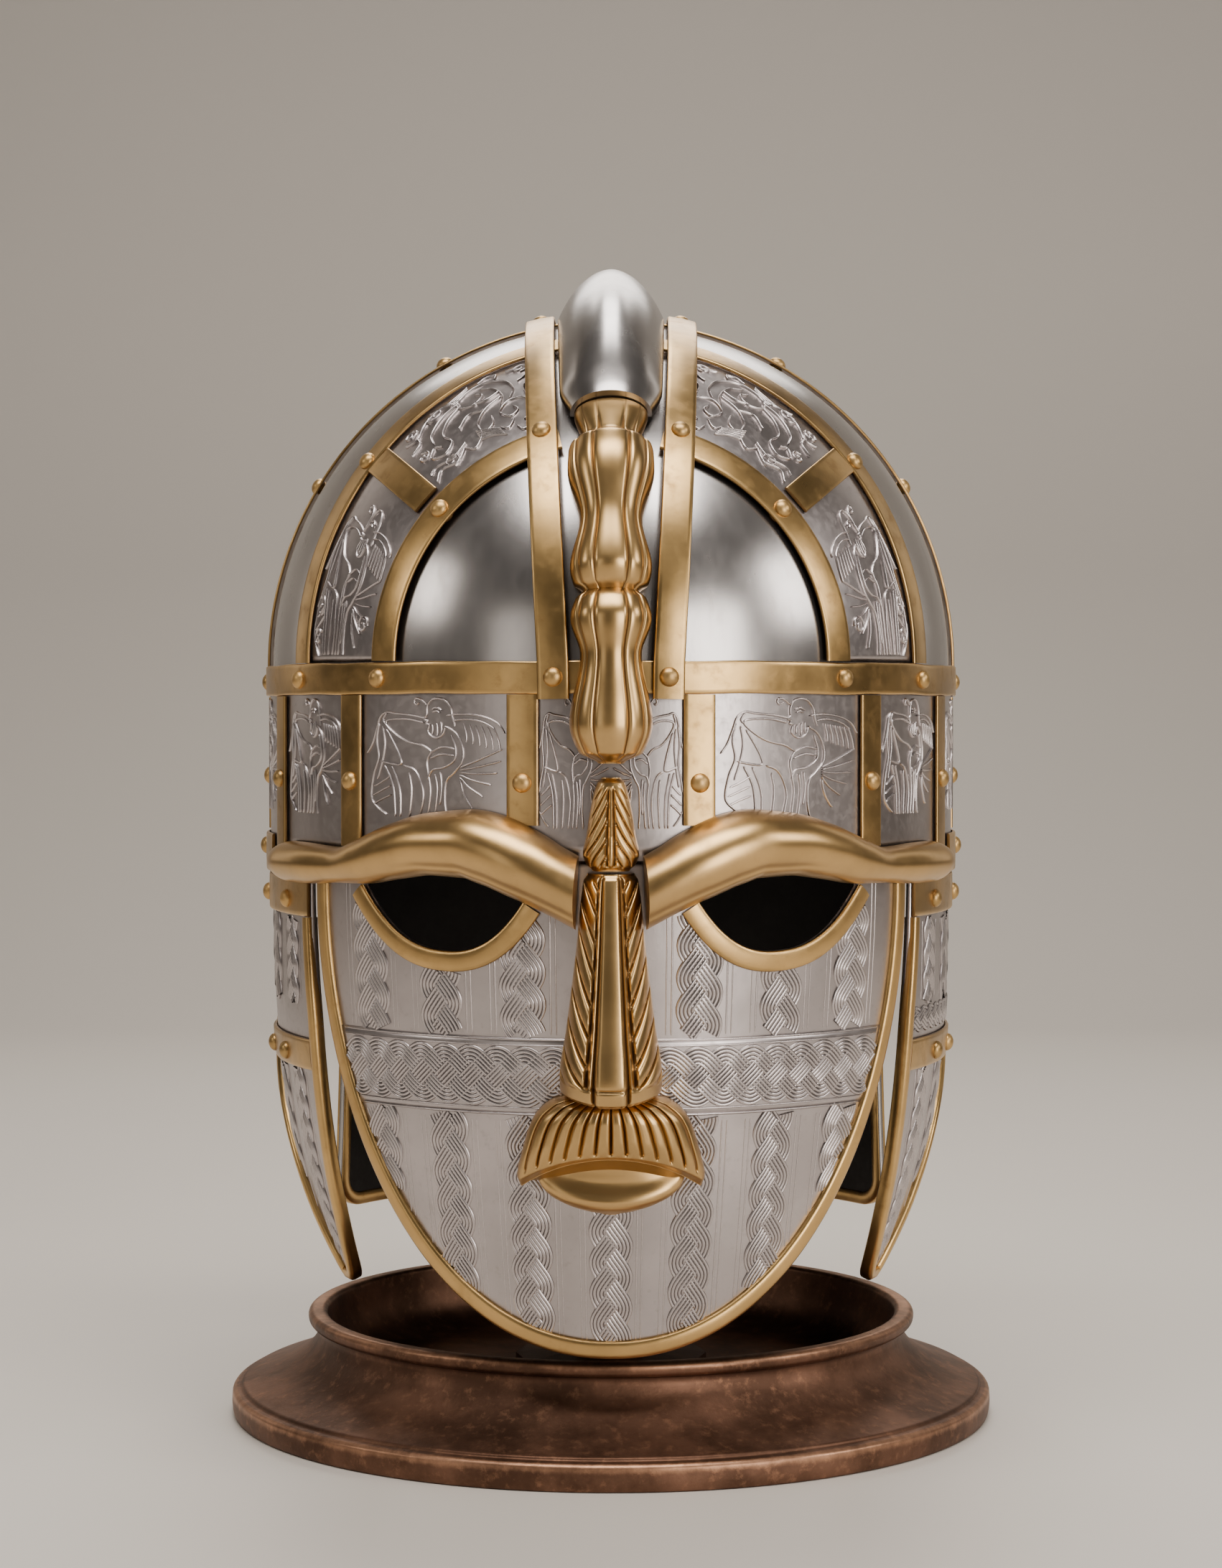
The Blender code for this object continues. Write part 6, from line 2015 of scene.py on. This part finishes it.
# Studio: the floor runs back and sweeps up into a backdrop
FLOOR_HALF_WIDTH = 5.0
FLOOR_FRONT_Y = -6.0
SWEEP_START_Y = 1.2
SWEEP_RADIUS = 0.6
BACKDROP_HEIGHT = 3.0
FLOOR_GAP = 0.1 * MM
STUDIO_LIGHTS = (
    # name, place, height of the point it is aimed at, width, height, watts, colour
    ("key_left", (-1.38, -0.50, 0.80), 0.20, 0.35, 0.40, 2.4, (1.0, 0.93, 0.85)),
    ("key_right", (1.38, -0.50, 0.80), 0.20, 0.45, 0.50, 5.5, (1.0, 0.94, 0.88)),
    ("front_left", (-1.05, -1.50, 0.40), 0.20, 0.5, 0.8, 1.4, (1.0, 0.93, 0.84)),
    ("front_right", (1.05, -1.50, 0.40), 0.20, 0.8, 0.9, 16.0, (1.0, 0.94, 0.87)),
    ("overhead", (0.0, -0.50, 1.35), 0.20, 1.1, 0.5, 17.0, (1.0, 0.95, 0.90)),
    ("top_panel", (0.0, 0.55, 1.45), 0.30, 0.45, 0.60, 7.0, (1.0, 0.96, 0.91)),
    ("back_panel", (0.0, 1.2, 1.12), 0.28, 0.9, 0.62, 7.5, (1.0, 0.95, 0.89)),
    ("rim_left", (-1.2, 0.9, 0.8), 0.20, 0.3, 1.2, 1.2, (1.0, 0.90, 0.78)),
    ("rim_right", (1.2, 0.9, 0.8), 0.20, 0.3, 1.2, 1.2, (1.0, 0.92, 0.82)),
)
WORLD_COLOUR = (0.62, 0.56, 0.50, 1.0)
WORLD_STRENGTH = 0.14
CAMERA_PLACE = (0.0, -1.0, 0.216)
CAMERA_DIP = 1.19
CAMERA_LENS = 73.02


def build_stage():
    """The pale floor with its swept backdrop, the soft lights and the camera."""
    looks = bpy.context.scene.helmet
    work = Work()
    profile = [(FLOOR_FRONT_Y, 0.0), (SWEEP_START_Y, 0.0)]
    for share in spread(16)[1:]:
        angle = math.pi / 2 * share
        out, up = SWEEP_RADIUS * math.sin(angle), SWEEP_RADIUS - SWEEP_RADIUS * math.cos(angle)
        profile.append((SWEEP_START_Y + out, up))
    profile.append((SWEEP_START_Y + SWEEP_RADIUS, BACKDROP_HEIGHT))
    ends = (-FLOOR_HALF_WIDTH, FLOOR_HALF_WIDTH)
    work.rows([[work.vert((x, y, z - FLOOR_GAP)) for x in ends] for y, z in profile])
    work.object("studio_floor", "pale_floor", 80.0)

    for name, place, aim_z, width, height, watts, colour in STUDIO_LIGHTS:
        area_light(name, place, (0.0, 0.0, aim_z), width, height, watts * looks.light_power, colour)

    world = bpy.data.worlds.new("studio")
    bpy.context.scene.world = world
    world.use_nodes = True
    backing = world.node_tree.nodes["Background"]
    backing.inputs["Color"].default_value = WORLD_COLOUR
    backing.inputs["Strength"].default_value = WORLD_STRENGTH

    data = bpy.data.cameras.new("camera")
    data.lens = CAMERA_LENS
    data.sensor_width = 36.0
    data.clip_start, data.clip_end = 0.05, 20.0
    camera = bpy.data.objects.new("camera", data)
    camera.location = CAMERA_PLACE
    camera.rotation_euler = (math.radians(90.0 - CAMERA_DIP), 0.0, 0.0)
    bpy.context.scene.collection.objects.link(camera)
    bpy.context.scene.camera = camera


class HelmetLooks(bpy.types.PropertyGroup):
    """Sizes and colours of the helmet's looks."""

    rivet_width: FloatProperty(
        name="Rivet Width", description="Width of a rivet's domed head", default=5.5 * MM,
        min=2.0 * MM, max=8.0 * MM, unit="LENGTH",
    )
    rivet_height: FloatProperty(
        name="Rivet Height", description="Height of a rivet's domed head", default=2.1 * MM,
        min=0.5 * MM, max=3.0 * MM, unit="LENGTH",
    )
    light_power: FloatProperty(
        name="Light Power", description="Strength of the studio lights", default=1.0,
        min=0.1, max=5.0, subtype="FACTOR",
    )
    steel_colour: FloatVectorProperty(
        name="Steel", description="Colour of the polished steel", default=(0.52, 0.495, 0.485),
        subtype="COLOR", size=3, min=0.0, max=1.0,
    )
    silver_colour: FloatVectorProperty(
        name="Silver Foil", description="Colour of the pressed silver foil", default=(0.56, 0.51, 0.505),
        subtype="COLOR", size=3, min=0.0, max=1.0,
    )
    brass_colour: FloatVectorProperty(
        name="Brass", description="Colour of the brass strips", default=(0.58, 0.375, 0.15),
        subtype="COLOR", size=3, min=0.0, max=1.0,
    )
    gilt_colour: FloatVectorProperty(
        name="Gilt Bronze", description="Colour of the gilt castings", default=(0.60, 0.39, 0.165),
        subtype="COLOR", size=3, min=0.0, max=1.0,
    )
    bronze_colour: FloatVectorProperty(
        name="Dark Bronze", description="Colour of the dish stand", default=(0.16, 0.085, 0.055),
        subtype="COLOR", size=3, min=0.0, max=1.0,
    )
    floor_colour: FloatVectorProperty(
        name="Floor", description="Colour of the studio floor", default=(0.62, 0.58, 0.53),
        subtype="COLOR", size=3, min=0.0, max=1.0,
    )


class HELMET_OT_finishes(bpy.types.Operator):
    """Makes the metals and leather"""

    bl_idname = "helmet.finishes"
    bl_label = "Finishes"

    def execute(self, context):
        make_finishes()
        dress_hidden_pieces()
        return {"FINISHED"}


class HELMET_OT_stand(bpy.types.Operator):
    """Turns the dish stand that the helmet rests on"""

    bl_idname = "helmet.stand"
    bl_label = "Dish Stand"

    def execute(self, context):
        build_stand_looks()
        return {"FINISHED"}


class HELMET_OT_cap(bpy.types.Operator):
    """Makes the steel cap and the pressed panels on it"""

    bl_idname = "helmet.cap"
    bl_label = "Cap and Panels"

    def execute(self, context):
        build_cap_looks()
        build_foil_looks()
        return {"FINISHED"}


class HELMET_OT_bands(bpy.types.Operator):
    """Lays the brass strips over the cap"""

    bl_idname = "helmet.bands"
    bl_label = "Brass Strips"

    def execute(self, context):
        build_band_looks()
        return {"FINISHED"}


class HELMET_OT_crest(bpy.types.Operator):
    """Makes the crest and the castings at its two ends"""

    bl_idname = "helmet.crest"
    bl_label = "Crest"

    def execute(self, context):
        build_crest_looks()
        return {"FINISHED"}


class HELMET_OT_castings(bpy.types.Operator):
    """Casts the eyebrows, the nose, the moustache and the lip"""

    bl_idname = "helmet.castings"
    bl_label = "Face Castings"

    def execute(self, context):
        build_eyebrow_looks()
        build_face_looks()
        return {"FINISHED"}


class HELMET_OT_mask(bpy.types.Operator):
    """Makes the mask with its plaits and brass edges"""

    bl_idname = "helmet.mask"
    bl_label = "Mask"

    def execute(self, context):
        build_mask_looks()
        return {"FINISHED"}


class HELMET_OT_guards(bpy.types.Operator):
    """Makes the cheek guards and the neck guard"""

    bl_idname = "helmet.guards"
    bl_label = "Guards"

    def execute(self, context):
        build_guard_looks()
        build_neck_looks()
        return {"FINISHED"}


class HELMET_OT_rivets(bpy.types.Operator):
    """Sets a domed rivet at every fixing"""

    bl_idname = "helmet.rivets"
    bl_label = "Rivets"

    def execute(self, context):
        build_rivet_looks()
        return {"FINISHED"}


class HELMET_OT_stage(bpy.types.Operator):
    """Lays the floor and sets up the lights and the camera"""

    bl_idname = "helmet.stage"
    bl_label = "Studio"

    def execute(self, context):
        build_stage()
        return {"FINISHED"}


STEPS = (
    HELMET_OT_finishes,
    HELMET_OT_stand,
    HELMET_OT_cap,
    HELMET_OT_bands,
    HELMET_OT_crest,
    HELMET_OT_castings,
    HELMET_OT_mask,
    HELMET_OT_guards,
    HELMET_OT_rivets,
    HELMET_OT_stage,
)


class HELMET_PT_panel(bpy.types.Panel):
    """Lists the helmet's looks and the steps that build it"""

    bl_idname = "HELMET_PT_panel"
    bl_label = "Helmet"
    bl_space_type = "VIEW_3D"
    bl_region_type = "UI"
    bl_category = "Helmet"

    def draw(self, context):
        for name in HelmetLooks.__annotations__:
            self.layout.prop(context.scene.helmet, name)
        for step in STEPS:
            self.layout.operator(step.bl_idname)


CLASSES = (HelmetLooks, *STEPS, HELMET_PT_panel)


def register():
    for made in CLASSES:
        bpy.utils.register_class(made)
    bpy.types.Scene.helmet = PointerProperty(type=HelmetLooks)


def unregister():
    del bpy.types.Scene.helmet
    for made in reversed(CLASSES):
        bpy.utils.unregister_class(made)


def main():
    register()
    bpy.ops.helmet.finishes()
    bpy.ops.helmet.stand()
    bpy.ops.helmet.cap()
    bpy.ops.helmet.bands()
    bpy.ops.helmet.crest()
    bpy.ops.helmet.castings()
    bpy.ops.helmet.mask()
    bpy.ops.helmet.guards()
    bpy.ops.helmet.rivets()
    bpy.ops.helmet.stage()


if __name__ == "__main__":
    main()
